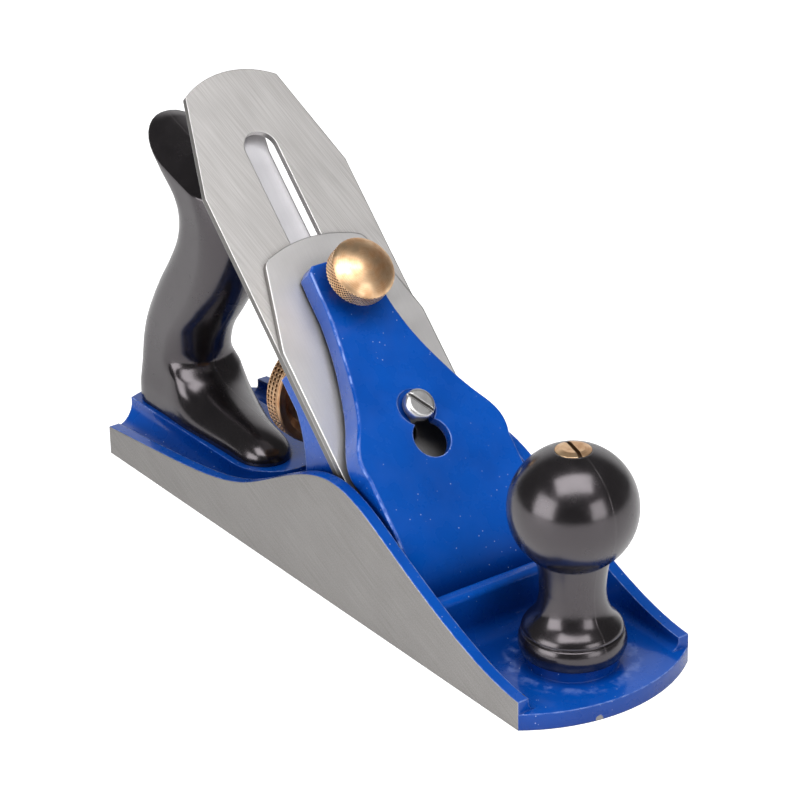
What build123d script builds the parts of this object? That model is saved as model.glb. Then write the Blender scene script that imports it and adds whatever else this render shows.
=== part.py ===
from build123d import *
from math import sqrt, degrees, atan2, asin, sin, cos
import os

os.makedirs("parts", exist_ok=True)

# Bailey-pattern smoothing plane, in millimetres.
# Origin: middle of the sole on its lower face. +X to the toe, +Y to the plane's left, +Z up.
# Lengths on the blade run up the 45 degree slope from the sole (u) and out of the iron's front face (w).

# Fits
RUN_GAP = 0.05        # radial gap of a shaft in its bearing, and of flat faces that slide
FREE_GAP = 0.35       # gap between faces that pass each other

# Sole casting
HALF_LENGTH = 117.0
HALF_WIDTH = 30.0
TOE_CORNER_X = HALF_LENGTH - 10.0
HEEL_CORNER_X = 13.0 - HALF_LENGTH
FLOOR = 5.0
CHEEK_T = 3.6
CHEEK_TOP = [(HEEL_CORNER_X, 9.3), (-60.5, 13.6), (-26.2, 21.1), (-0.5, 34.0), (21.5, 40.2), (47.1, 31.0),
             (76.4, 17.0), (TOE_CORNER_X, 8.8)]
CHEEK_ROOT_R = 2.5
PAD_TOP = 11.5
PAD_HALF_WIDTH = 15.5
PAD_FRONT_X = -39.5
PAD_ROOT_R = 5.0
MOUTH_REAR_X = 51.4
MOUTH_FRONT_X = 58.6
MOUTH_HALF_WIDTH = 26.0
RIB_FRONT_X = 67.8
RIB_T = 5.0
RIB_TOP = 20.0
RIB_ROOT_R = 5.0
SEAT_TOP = 11.0
SEAT_X0 = 6.0
SEAT_X1 = 34.0
SEAT_HALF_WIDTH = 21.0
SEAT_GROOVE = 16.0
LUG_X0 = -2.0
LUG_X1 = 8.0
LUG_HALF_WIDTH = 7.0
LUG_TOP = 19.0
KNOB_X = 92.9
BOSS_R = 13.0
BOSS_TOP = 8.7

# Blade slope
BLADE_X = 56.5
IRON_T = 2.2
BED_W = -IRON_T - RUN_GAP

# Frog
FROG_HALF_WIDTH = 23.5
FROG_WEB_T = 4.0
FROG_BASE_T = 5.0
FROG_BED_T = 6.0
FROG_FOOT_Z = 5.6
FROG_FOOT_X = 36.0
FROG_SIDE_U = 90.0
FROG_TOP_U = 108.0
FROG_TOP_HALF_WIDTH = 11.0
FROG_TONGUE_HALF = 9.0
FROG_TONGUE_W = -13.0
FROG_REAR = [(-11.3, 62.4), (-7.5, 54.5), (-4.0, 46.6), (-1.8, 33.9)]
FROG_RIB_HALF = 5.0
FROG_RIB_X = -8.0
FROG_RIB_Z0 = 21.0
FROG_RIB_Z1 = 48.0
FROG_BOSS_R = 7.0
FROG_TRAVEL = 1.5
FROG_SCREW_X = 22.0
FROG_SCREW_Y = 12.5
FROG_SCREW_R = 3.0
FROG_SCREW_HEAD_R = 5.2
FROG_SCREW_HEAD_T = 3.6
FROG_SCREW_END_Z = 2.5
WASHER_R = 6.0
WASHER_T = 1.2

# Frog adjusting screw and its forked plate
ADJ_Z = 14.0
ADJ_R = 3.0
ADJ_HEAD_R = 4.5
ADJ_HEAD_X = -22.0
ADJ_END_X = 10.0
ADJ_FLANGE_T = 1.5
PLATE_T = 2.0
PLATE_HALF_WIDTH = 6.5
PLATE_TOP = 31.0
PLATE_BOTTOM = 10.5
PLATE_SCREW_Z = 26.0
PLATE_SCREW_R = 2.0
PLATE_SCREW_HEAD_R = 3.8
PLATE_SCREW_HEAD_T = 2.2
PLATE_SCREW_END_X = -3.0

# Cutting iron and cap iron
IRON_HALF_WIDTH = 25.0
IRON_TOP_U = 184.0
IRON_CORNER_U = 179.2
IRON_CORNER_Y = 16.15
IRON_SHOULDER_U = 147.3
IRON_EDGE_U = 0.5
IRON_BEVEL_L = 4.6
IRON_SLOT_R = 5.55
IRON_SLOT_TOP_U = 163.1
IRON_SLOT_END_U = 60.0
IRON_SLOT_HOLE_R = 9.0
CAP_T = 2.0
CAP_EDGE_U = 1.8
CAP_HUMP_U = 7.0
CAP_HUMP_H = 3.6
CAP_FLAT_U = 22.0
CAP_SHOULDER_U = 95.0
CAP_CORNER_U = 122.4
CAP_CORNER_Y = 17.5
CAP_TOP_U = 126.2
CAP_SCREW_U = 105.0
CAP_SCREW_R = 4.0
CAP_SCREW_HEAD_R = 6.8
CAP_SCREW_HEAD_T = 2.6

# Lever cap with its two screws
LEVER_END_U = 7.0
LEVER_FACE = [(115, 10.0), (99, 10.0), (85, 11.0), (62, 14.3), (39, 14.0), (24, 13.3), (13, 9.6), (7, 5.6)]
LEVER_UNDER = [(7, 4.0), (11, 4.2), (20, 6.0), (45, 6.4), (57, 6.0), (63, 4.6), (88, 4.0), (108, 2.9), (115, 2.9)]
LEVER_SIDE = [(115, 8.2), (113.2, 10.0), (99, 10.6), (85, 13.1), (76, 15.6), (63, 21.0), (57.5, 24.2), (48, 24.9),
              (7, 25.0)]
LEVER_WALL = 2.6
LEVER_ROOF = 3.2
LEVER_EDGE_R = 0.8
LEVER_SOLID_U = 96.0
KEY_HOLE_U = 54.0
KEY_HOLE_R = 6.0
KEY_SLOT_R = 3.5
KEY_SEAT_R = 5.9
KEY_SEAT_W = 13.3
LEVER_SCREW_U = 64.0
LEVER_SCREW_R = 3.0
LEVER_SCREW_HEAD_R = 4.7
LEVER_SCREW_HEAD_W = 14.55
LEVER_SCREW_TOP_W = 17.6
LEVER_SCREW_END_W = -20.0
THUMB_U = 106.2
THUMB_R = 9.8
THUMB_EDGE = 0.5
THUMB_W0 = 16.2
THUMB_W1 = 21.7
THUMB_TOP_W = 24.4
THUMB_NECK_R = 4.5
THUMB_STEM_R = 4.0

# Depth adjustment
NUT_Z = 42.6
NUT_R = 17.0
NUT_REAR_X = -32.1
NUT_FRONT_X = -25.5
NUT_RIM = 2.6
NUT_DISH = 2.8
NUT_HUB_R = 8.0
NUT_GROOVE_R = 4.5
NUT_GROOVE_X0 = -20.2
NUT_GROOVE_X1 = -14.4
NUT_FLANGE_R = 6.2
NUT_END_X = -12.6
STUD_R = 3.0
STUD_REAR_X = -34.5
STUD_END_X = -1.0
YOKE_U = 86.5
YOKE_W = -12.0
YOKE_HUB_R = 3.0
YOKE_HUB_HALF = 8.4
YOKE_TIP_U = 82.5
YOKE_TIP_W = 2.2
YOKE_FINGER_HALF = 3.0
YOKE_FINGER_T = 4.4
YOKE_PRONG_T = 3.0
YOKE_PRONG_X = -17.3
YOKE_PRONG_Z = 38.6
YOKE_PRONG_Y = 2.5
YOKE_PLAY = 0.6
PIN_R = 1.5
PIN_HALF = 12.5
PIN_LUG_R = 4.2

# Lateral adjustment
LATERAL_U = 103.0
LATERAL_T = 2.0
LATERAL_FRONT_W = -2.6
LATERAL_BACK_W = -5.5
LATERAL_BEND_U = 94.0
LATERAL_HALF = 5.4
LATERAL_FOOT_R = 5.0
LATERAL_TOP_U = 172.0
LATERAL_TAB_HALF = 7.0
LATERAL_TAB_L = 9.0
LATERAL_RECESS_HALF = 8.0
LATERAL_GAP = 0.25
RIVET_R = 2.0
RIVET_END_W = -12.0
ROLLER_U = 92.5
ROLLER_R = 4.5
ROLLER_T = 2.0
ROLLER_PIN_R = 1.6

# Knob
KNOB_BALL_R = 18.2
KNOB_BALL_Z = 52.5
KNOB_RING_R = 15.2
KNOB_RING_H = 6.2
KNOB_GROOVE_R = 13.6
KNOB_GROOVE_H = 0.5
KNOB_BELL = [(14.3, 16.0), (13.8, 17.2), (12.4, 18.8), (11.0, 20.6), (9.7, 24.0), (9.3, 28.0)]
KNOB_NUT_R = 5.05
KNOB_NUT_Z0 = 63.5
KNOB_NUT_TOP = 70.7

# Tote: each level gives height, rear X, front X, half thickness, rear and front corner radius
TOTE_LEVELS = [(11.6, -116.6, -44.0, 14.1, 9.5, 13.1), (15.0, -116.8, -43.4, 14.2, 9.5, 13.2),
               (18.5, -116.8, -46.0, 13.9, 9.5, 12.9), (21.5, -116.8, -58.0, 13.4, 9.5, 12.2),
               (24.0, -116.8, -76.0, 13.0, 9.5, 11.8), (28.0, -116.8, -85.5, 12.5, 9.5, 11.2),
               (33.0, -116.4, -87.8, 12.1, 9.5, 10.9), (40.0, -114.2, -84.8, 11.9, 9.5, 10.8),
               (48.0, -110.0, -78.4, 11.8, 9.5, 10.8), (56.5, -104.6, -72.0, 11.7, 9.5, 10.8),
               (65.0, -98.4, -67.5, 11.7, 9.5, 10.8), (73.5, -93.3, -64.5, 11.8, 9.5, 10.8),
               (82.0, -91.5, -63.5, 12.0, 9.5, 10.8), (89.0, -93.4, -64.8, 12.5, 9.5, 10.8),
               (96.0, -100.5, -67.5, 13.0, 10.5, 10.8), (103.0, -107.0, -71.0, 13.2, 11.5, 10.8),
               (110.0, -111.0, -75.0, 13.2, 11.5, 10.8)]
TOTE_TOP = [(-102.0, 104.9), (-69.6, 94.4)]
TOTE_CROWN_R = 26.0
TOTE_ROD_FOOT = (-104.0, 3.0)
TOTE_ROD_HEAD = (-78.0, 96.0)
ROD_R = 3.0
ROD_HOLE_R = 3.5
ROD_NUT_L = 8.0
ROD_NUT_SINK = 1.0
ROD_IN_NUT = 4.0

S = sqrt(0.5)
BLADE = Plane(origin=(BLADE_X, 0, 0), x_dir=(-S, 0, S), z_dir=(S, 0, S))


def blade_point(u, w):
    """X and Z of a point on the middle plane, from its place on the blade slope."""
    return BLADE_X - u * S + w * S, u * S + w * S


def side_plate(edges, half_width):
    """A side outline in X and Z thickened equally to both sides of the middle plane."""
    return extrude(Plane.XZ * make_face(edges), amount=half_width, both=True)


def outline(*points):
    return Polyline(*points, close=True)


def post(radius, z0, z1, at=(0, 0)):
    return Pos(at[0], at[1], (z0 + z1) / 2) * Cylinder(radius, z1 - z0)


def rod_x(radius, x0, x1, z, y=0):
    return Pos((x0 + x1) / 2, y, z) * Rot(0, 90, 0) * Cylinder(radius, x1 - x0)


def rod_y(radius, y0, y1, x, z):
    return Pos(x, (y0 + y1) / 2, z) * Rot(90, 0, 0) * Cylinder(radius, y1 - y0)


def block(x0, x1, y0, y1, z0, z1):
    return Pos((x0 + x1) / 2, (y0 + y1) / 2, (z0 + z1) / 2) * Box(x1 - x0, y1 - y0, z1 - z0)


def slot_cut(x0, x1, radius, z0, z1, y=0):
    """A round-ended slot along X between two end centres, cut from z0 to z1."""
    ends = post(radius, z0, z1, (x0, y)) + post(radius, z0, z1, (x1, y))
    return block(x0, x1, y - radius, y + radius, z0, z1) + ends


def both_sides(shape):
    return shape + mirror(shape, about=Plane.XZ)


# Sole casting
def sole_outline():
    heel = ThreePointArc((HEEL_CORNER_X, HALF_WIDTH), (-HALF_LENGTH, 0), (HEEL_CORNER_X, -HALF_WIDTH))
    toe = ThreePointArc((TOE_CORNER_X, -HALF_WIDTH), (HALF_LENGTH, 0), (TOE_CORNER_X, HALF_WIDTH))
    right = Line((HEEL_CORNER_X, -HALF_WIDTH), (TOE_CORNER_X, -HALF_WIDTH))
    left = Line((TOE_CORNER_X, HALF_WIDTH), (HEEL_CORNER_X, HALF_WIDTH))
    return make_face([heel, right, toe, left])


def cheek():
    first, last = CHEEK_TOP[0], CHEEK_TOP[-1]
    side = Polyline(last, (last[0], 0), (first[0], 0), first)
    plate = side_plate([Spline(*CHEEK_TOP), side], CHEEK_T / 2)
    return Pos(0, HALF_WIDTH - CHEEK_T / 2, 0) * plate


def sole_with_cheeks():
    shell = extrude(sole_outline(), amount=FLOOR) + both_sides(cheek())
    inner = HALF_WIDTH - CHEEK_T
    roots = [e for e in shell.edges() if abs(abs(e.center().Y) - inner) < 0.01 and abs(e.center().Z - FLOOR) < 0.01]
    return fillet(roots, CHEEK_ROOT_R)


def tote_pad():
    pad = block(-HALF_LENGTH, PAD_FRONT_X - PAD_HALF_WIDTH, -PAD_HALF_WIDTH, PAD_HALF_WIDTH, 0, PAD_TOP)
    pad += post(PAD_HALF_WIDTH, 0, PAD_TOP, (PAD_FRONT_X - PAD_HALF_WIDTH, 0))
    return pad & extrude(sole_outline(), amount=PAD_TOP)


def sole_with_pad():
    sole = sole_with_cheeks() + tote_pad()
    half = PAD_HALF_WIDTH + 0.1
    roots = [e for e in sole.edges() if abs(e.center().Z - FLOOR) < 0.01 and abs(e.center().Y) < half
             and e.bounding_box().max.X < PAD_FRONT_X + 0.1 and e.length > 2 * PAD_HALF_WIDTH]
    return fillet(roots, PAD_ROOT_R)


def mouth_rib():
    root = RIB_ROOT_R
    curve = ThreePointArc((RIB_FRONT_X + root, FLOOR), (RIB_FRONT_X + root * (1 - S), FLOOR + root * (1 - S)),
                          (RIB_FRONT_X, FLOOR + root))
    rest = Polyline((RIB_FRONT_X, FLOOR + root), (RIB_FRONT_X, RIB_TOP), (RIB_FRONT_X - RIB_T, RIB_TOP),
                    (MOUTH_FRONT_X, FLOOR), (MOUTH_FRONT_X, 0), (RIB_FRONT_X + root, 0), (RIB_FRONT_X + root, FLOOR))
    rib = side_plate([curve, rest], HALF_WIDTH - CHEEK_T)
    top = rib.edges().filter_by(Axis.Y).group_by(Axis.Z)[-1]
    return fillet(top, 1.8)


def frog_seat():
    seat = block(SEAT_X0, SEAT_X1, -SEAT_HALF_WIDTH, SEAT_HALF_WIDTH, 0, SEAT_TOP)
    seat -= block(SEAT_X0, SEAT_X1, -SEAT_GROOVE / 2, SEAT_GROOVE / 2, FLOOR, SEAT_TOP)
    lug = block(LUG_X0, LUG_X1, -LUG_HALF_WIDTH, LUG_HALF_WIDTH, 0, LUG_TOP)
    lug = fillet(lug.edges().filter_by(Axis.X).group_by(Axis.Z)[-1], 3.0)
    return seat + lug


def make_body():
    body = sole_with_pad() + mouth_rib() + frog_seat() + post(BOSS_R, 0, BOSS_TOP, (KNOB_X, 0))
    mouth = outline((MOUTH_REAR_X + 1, -1), (MOUTH_REAR_X - 2 * FLOOR, 2 * FLOOR), (MOUTH_FRONT_X, 2 * FLOOR),
                    (MOUTH_FRONT_X, -1))
    body -= side_plate(mouth, MOUTH_HALF_WIDTH)
    body -= post(ROD_R + RUN_GAP, 1, BOSS_TOP, (KNOB_X, 0))
    for side in (-1, 1):
        body -= post(FROG_SCREW_R + RUN_GAP, FROG_SCREW_END_Z - 1, SEAT_TOP, (FROG_SCREW_X, side * FROG_SCREW_Y))
    body -= rod_x(ADJ_R + RUN_GAP, LUG_X0, LUG_X1, ADJ_Z)
    return body - tote_axis_post(ROD_R + RUN_GAP, -1.0, 30.0)


# Frog
def frog_web():
    foot = blade_point(FROG_FOOT_Z / S - BED_W, BED_W)
    head = blade_point(FROG_SIDE_U, BED_W)
    low = FROG_REAR[-1]
    rear = Spline(*FROG_REAR)
    front = Polyline(low, (low[0], SEAT_TOP), (FROG_FOOT_X, SEAT_TOP), (FROG_FOOT_X, FROG_FOOT_Z), foot, head,
                     FROG_REAR[0])
    web = side_plate([rear, front], FROG_WEB_T / 2)
    return Pos(0, FROG_HALF_WIDTH - FROG_WEB_T / 2, 0) * web


def frog_bed():
    """The sloping plate, drawn flat in u and Y and laid on the slope, then trimmed level at the foot."""
    half, top = FROG_HALF_WIDTH, FROG_TOP_HALF_WIDTH
    plan = outline((0, -half), (FROG_SIDE_U, -half), (FROG_SIDE_U + 6, -top), (FROG_TOP_U, -top), (FROG_TOP_U, top),
                   (FROG_SIDE_U + 6, top), (FROG_SIDE_U, half), (0, half))
    bed = BLADE * (Pos(0, 0, BED_W - FROG_BED_T) * extrude(make_face(plan), amount=FROG_BED_T))
    bed -= block(-50, 80, -40, 40, -30, FROG_FOOT_Z)
    return bed - block(-50, FROG_FOOT_X, -40, 40, -30, SEAT_TOP)


def frog_base():
    base = block(FROG_REAR[-1][0], FROG_FOOT_X, -FROG_HALF_WIDTH, FROG_HALF_WIDTH, SEAT_TOP, SEAT_TOP + FROG_BASE_T)
    notch = LUG_HALF_WIDTH + 1.5
    return base - block(FROG_REAR[-1][0], LUG_X1 + FROG_TRAVEL + 2, -notch, notch, 0, LUG_TOP)


def frog_back():
    """Middle rib, boss for the depth stud and the two ears of the yoke pin."""
    back_sum = BLADE_X - 2 * S * (IRON_T + FROG_BED_T / 2)
    rib = side_plate(outline((FROG_RIB_X, FROG_RIB_Z0), (back_sum - FROG_RIB_Z0, FROG_RIB_Z0),
                             (back_sum - FROG_RIB_Z1, FROG_RIB_Z1), (FROG_RIB_X, FROG_RIB_Z1)), FROG_RIB_HALF)
    boss = rod_x(FROG_BOSS_R, FROG_RIB_X, back_sum - NUT_Z - FROG_BOSS_R + 2, NUT_Z)
    half = FROG_TONGUE_HALF
    tongue = BLADE * block(FROG_SIDE_U, FROG_TOP_U, -half, half, FROG_TONGUE_W, BED_W - 3)
    x, z = blade_point(YOKE_U, YOKE_W)
    y0, y1 = YOKE_HUB_HALF + FREE_GAP, PIN_HALF
    ear = rod_y(PIN_LUG_R, y0, y1, x, z)
    bridge = Pos(YOKE_U, (y0 + y1) / 2, YOKE_W / 2 - IRON_T) * Box(2 * PIN_LUG_R, y1 - y0, -YOKE_W - 2 * IRON_T)
    return rib + boss + tongue + both_sides(ear + BLADE * bridge)


def make_frog():
    frog = frog_bed() + frog_base() + both_sides(frog_web()) + frog_back()
    frog -= frog_cuts()
    return frog & (block(-60, 80, -FROG_HALF_WIDTH, FROG_HALF_WIDTH, 0, 120))


def frog_cuts():
    reach = FROG_TRAVEL + FREE_GAP
    x, y = FROG_SCREW_X, FROG_SCREW_Y
    screw = slot_cut(x - reach, x + reach, FROG_SCREW_R + FREE_GAP, SEAT_TOP - 1, SEAT_TOP + FROG_BASE_T, y)
    well = slot_cut(x - reach, x + reach, WASHER_R + FREE_GAP, SEAT_TOP + FROG_BASE_T, 60, y)
    cuts = both_sides(screw + well)
    finger = YOKE_FINGER_HALF + FREE_GAP
    cuts += BLADE * block(YOKE_TIP_U - 4.6, YOKE_U + YOKE_HUB_R, -finger, finger, YOKE_W, 0)
    low = ROLLER_U - LATERAL_FOOT_R - 1
    front = LATERAL_FRONT_W - LATERAL_T - LATERAL_GAP
    back = LATERAL_BACK_W - LATERAL_T - LATERAL_GAP
    bend = LATERAL_BEND_U - 1.4
    recess = outline((low, 0), (low, front), (bend, front), (bend + front - back, back), (FROG_TOP_U + 1, back),
                     (FROG_TOP_U + 1, 0))
    cuts += BLADE * side_plate(recess, LATERAL_RECESS_HALF)
    cuts += BLADE * post(RIVET_R + RUN_GAP, RIVET_END_W - 0.5, 0, (LATERAL_U, 0))
    cuts += BLADE * post(LEVER_SCREW_R + RUN_GAP, LEVER_SCREW_END_W - 0.5, 0, (LEVER_SCREW_U, 0))
    cuts += rod_x(STUD_R + RUN_GAP, FROG_RIB_X - 1, STUD_END_X + 0.5, NUT_Z)
    cuts += rod_x(PLATE_SCREW_R + RUN_GAP, FROG_RIB_X - 1, PLATE_SCREW_END_X + 0.5, PLATE_SCREW_Z)
    x, z = blade_point(YOKE_U, YOKE_W)
    return cuts + rod_y(PIN_R + RUN_GAP, -PIN_HALF - 1, PIN_HALF + 1, x, z)


def make_frog_screws():
    under = SEAT_TOP + FROG_BASE_T + RUN_GAP + WASHER_T + RUN_GAP
    screws = []
    for side in (-1, 1):
        at = (FROG_SCREW_X, side * FROG_SCREW_Y)
        head = post(FROG_SCREW_HEAD_R, under, under + FROG_SCREW_HEAD_T, at)
        head = chamfer(head.edges().group_by(Axis.Z)[-1], 0.8)
        slot = block(at[0] - 10, at[0] + 10, at[1] - 0.7, at[1] + 0.7, under + FROG_SCREW_HEAD_T - 1.6, under + 10)
        screws.append(head + post(FROG_SCREW_R, FROG_SCREW_END_Z, under, at) - slot)
    return Compound(children=[s.solid() for s in screws])


def make_frog_washers():
    low = SEAT_TOP + FROG_BASE_T + RUN_GAP
    rings = []
    for side in (-1, 1):
        at = (FROG_SCREW_X, side * FROG_SCREW_Y)
        ring = post(WASHER_R, low, low + WASHER_T, at) - post(FROG_SCREW_R + RUN_GAP, low - 1, low + WASHER_T + 1, at)
        rings.append(ring.solid())
    return Compound(children=rings)


# Frog adjusting screw and plate
def make_adjusting_plate():
    x1 = FROG_RIB_X - RUN_GAP
    plate = block(x1 - PLATE_T, x1, -PLATE_HALF_WIDTH, PLATE_HALF_WIDTH, PLATE_BOTTOM, PLATE_TOP)
    plate = fillet(plate.edges().filter_by(Axis.X).group_by(Axis.Z)[-1], 3.0)
    fork = ADJ_R + FREE_GAP
    plate -= block(x1 - 5, x1 + 5, -fork, fork, 0, ADJ_Z) + rod_x(fork, x1 - 5, x1 + 5, ADJ_Z)
    return plate - rod_x(PLATE_SCREW_R + RUN_GAP, x1 - 5, x1 + 5, PLATE_SCREW_Z)


def make_plate_screw():
    x1 = FROG_RIB_X - RUN_GAP - PLATE_T - RUN_GAP
    head = rod_x(PLATE_SCREW_HEAD_R, x1 - PLATE_SCREW_HEAD_T, x1, PLATE_SCREW_Z)
    head = chamfer(head.edges().group_by(Axis.X)[0], 0.7)
    slot = block(x1 - 5, x1 - PLATE_SCREW_HEAD_T + 1.1, -0.5, 0.5, PLATE_SCREW_Z - 6, PLATE_SCREW_Z + 6)
    return head + rod_x(PLATE_SCREW_R, x1, PLATE_SCREW_END_X, PLATE_SCREW_Z) - slot


def make_adjusting_screw():
    x1 = FROG_RIB_X - RUN_GAP + FREE_GAP
    x0 = x1 - PLATE_T - 2 * FREE_GAP
    head = rod_x(ADJ_HEAD_R, ADJ_HEAD_X, x0, ADJ_Z)
    head = chamfer(head.edges().group_by(Axis.X)[0], 0.8)
    slot = block(ADJ_HEAD_X - 2, ADJ_HEAD_X + 1.8, -0.6, 0.6, ADJ_Z - 8, ADJ_Z + 8)
    return head + rod_x(ADJ_R, x0, ADJ_END_X, ADJ_Z) + rod_x(ADJ_HEAD_R, x1, x1 + ADJ_FLANGE_T, ADJ_Z) - slot


# Cutting iron and cap iron, drawn in u, Y and w and laid on the slope
def make_iron():
    w = IRON_HALF_WIDTH
    side = Polyline((IRON_CORNER_U, -IRON_CORNER_Y), (IRON_SHOULDER_U, -w), (IRON_EDGE_U, -w), (IRON_EDGE_U, w),
                    (IRON_SHOULDER_U, w), (IRON_CORNER_U, IRON_CORNER_Y))
    crown = ThreePointArc((IRON_CORNER_U, IRON_CORNER_Y), (IRON_TOP_U, 0), (IRON_CORNER_U, -IRON_CORNER_Y))
    iron = Pos(0, 0, -IRON_T) * extrude(make_face([side, crown]), amount=IRON_T)
    iron -= slot_cut(IRON_SLOT_END_U, IRON_SLOT_TOP_U - IRON_SLOT_R, IRON_SLOT_R, -5, 5)
    iron -= post(IRON_SLOT_HOLE_R, -5, 5, (IRON_SLOT_END_U, 0))
    bevel = outline((IRON_EDGE_U, 0), (IRON_EDGE_U + IRON_BEVEL_L, -IRON_T), (IRON_EDGE_U + IRON_BEVEL_L, -5),
                    (IRON_EDGE_U - 5, -5), (IRON_EDGE_U - 5, 0))
    return BLADE * (iron - side_plate(bevel, w + 1))


def cap_side():
    """Side outline of the cap iron: flat plate, hump and the edge that meets the iron."""
    gap = RUN_GAP
    crest = (CAP_HUMP_U, CAP_HUMP_H)
    front = Spline((CAP_EDGE_U, gap + 0.2), crest, (CAP_HUMP_U + 7, CAP_HUMP_H - 0.6), (CAP_FLAT_U, CAP_T + gap),
                   tangents=[(0.5, 1), (1, 0)])
    flat = Polyline((CAP_FLAT_U, CAP_T + gap), (CAP_TOP_U, CAP_T + gap), (CAP_TOP_U, gap), (CAP_FLAT_U, gap))
    under = Spline((CAP_FLAT_U, gap), (CAP_HUMP_U + 7, CAP_HUMP_H - 2.4), (CAP_HUMP_U, CAP_HUMP_H - 1.9),
                   (CAP_EDGE_U + 0.8, gap), tangents=[(-1, 0), (-0.7, -1)])
    toe = Line((CAP_EDGE_U + 0.8, gap), (CAP_EDGE_U, gap))
    lip = Line((CAP_EDGE_U, gap), (CAP_EDGE_U, gap + 0.2))
    return [front, flat, under, toe, lip]


def make_cap_iron():
    w = IRON_HALF_WIDTH
    side = Polyline((CAP_CORNER_U, -CAP_CORNER_Y), (CAP_SHOULDER_U, -w), (0, -w), (0, w), (CAP_SHOULDER_U, w),
                    (CAP_CORNER_U, CAP_CORNER_Y))
    crown = ThreePointArc((CAP_CORNER_U, CAP_CORNER_Y), (CAP_TOP_U, 0), (CAP_CORNER_U, -CAP_CORNER_Y))
    plan = make_face([side, crown])
    plan = fillet([v for v in plan.vertices() if v.X > CAP_SHOULDER_U - 1], 4.0)
    cap = side_plate(cap_side(), w + 1) & (Pos(0, 0, -1) * extrude(plan, amount=10))
    cap -= slot_cut(LEVER_SCREW_U - 2.5, LEVER_SCREW_U + 2.5, LEVER_SCREW_R + 1.2, -5, 10)
    finger = YOKE_FINGER_HALF + FREE_GAP
    long = YOKE_FINGER_T / 2 + YOKE_PLAY
    cap -= block(YOKE_TIP_U - long, YOKE_TIP_U + long, -finger, finger, -5, 10)
    cap -= post(CAP_SCREW_R + RUN_GAP, -5, 10, (CAP_SCREW_U, 0))
    return BLADE * cap


def make_cap_iron_screw():
    back = -IRON_T - RUN_GAP
    head = post(CAP_SCREW_HEAD_R, back - CAP_SCREW_HEAD_T, back, (CAP_SCREW_U, 0))
    head = chamfer(head.edges().group_by(Axis.Z)[0], 0.7)
    slot = block(CAP_SCREW_U - 10, CAP_SCREW_U + 10, -0.8, 0.8, back - 10, back - CAP_SCREW_HEAD_T + 1.2)
    return BLADE * (head + post(CAP_SCREW_R, back, CAP_T, (CAP_SCREW_U, 0)) - slot)


# Lever cap
def lever_plan(inset):
    half = [(u, y - inset) for u, y in LEVER_SIDE]
    left = Spline(*half[2:8])
    low = Polyline(half[7], (LEVER_END_U, half[8][1]), (LEVER_END_U, -half[8][1]), (half[7][0], -half[7][1]))
    right = mirror(left, about=Plane.XZ)
    u2, y2 = half[2]
    top = Polyline((u2, -y2), (half[1][0], -half[1][1]), (half[0][0], -half[0][1]), half[0], half[1], half[2])
    return make_face([left, low, right, top])


def lever_side(face, under):
    faces = Polyline(*face[:2])
    curve = Spline(*face[1:])
    rest = Polyline(face[-1], *under, face[0])
    return [faces, curve, rest]


def lever_block():
    """The cap before it is hollowed: side outline and plan together, upper edges rounded as cast."""
    solid = side_plate(lever_side(LEVER_FACE, LEVER_UNDER), IRON_HALF_WIDTH + 1) & extrude(lever_plan(0), amount=30)
    walls = [f for f in solid.faces() if abs(f.normal_at().Z) < 0.01 and f.center().X > LEVER_END_U + 1]
    return fillet([wall.edges().sort_by(Axis.Z)[-1] for wall in walls], LEVER_EDGE_R)


def make_lever_cap():
    roof = [(u, w - LEVER_ROOF) for u, w in LEVER_FACE]
    roof = [p for p in roof if p[0] > 12]
    hollow = [Polyline(*roof[:2]), Spline(*roof[1:]), Polyline(roof[-1], (roof[-1][0], -2), (roof[0][0], -2), roof[0])]
    cavity = side_plate(hollow, IRON_HALF_WIDTH + 1) & (Pos(0, 0, -2) * extrude(lever_plan(LEVER_WALL), amount=40))
    cavity = cavity & block(roof[-1][0], LEVER_SOLID_U, -30, 30, -2, 30)
    cap = lever_block() - cavity
    cap -= post(KEY_HOLE_R, -5, 30, (KEY_HOLE_U, 0)) + slot_cut(KEY_HOLE_U, LEVER_SCREW_U, KEY_SLOT_R, -5, 30)
    cap -= post(KEY_SEAT_R, KEY_SEAT_W, 30, (LEVER_SCREW_U, 0))
    cap -= post(THUMB_STEM_R + RUN_GAP, -5, 30, (THUMB_U, 0))
    return BLADE * cap


def make_lever_screw():
    head = post(LEVER_SCREW_HEAD_R, LEVER_SCREW_HEAD_W, LEVER_SCREW_TOP_W, (LEVER_SCREW_U, 0))
    head = fillet(head.edges().group_by(Axis.Z)[-1], 1.3)
    screw = head + post(LEVER_SCREW_R, LEVER_SCREW_END_W, LEVER_SCREW_HEAD_W, (LEVER_SCREW_U, 0))
    slot = Pos(LEVER_SCREW_U, 0, LEVER_SCREW_TOP_W) * Rot(0, 0, 36) * Box(20, 1.1, 2.4)
    return BLADE * (screw - slot)


def dome_arc(radius, z0, z1):
    """Arc of a shallow dome from its rim to its top on the axis."""
    ball = (radius ** 2 + (z1 - z0) ** 2) / (2 * (z1 - z0))
    half = asin(radius / ball) / 2
    return ThreePointArc((radius, z0), (ball * sin(half), z1 - ball + ball * cos(half)), (0, z1))


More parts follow.
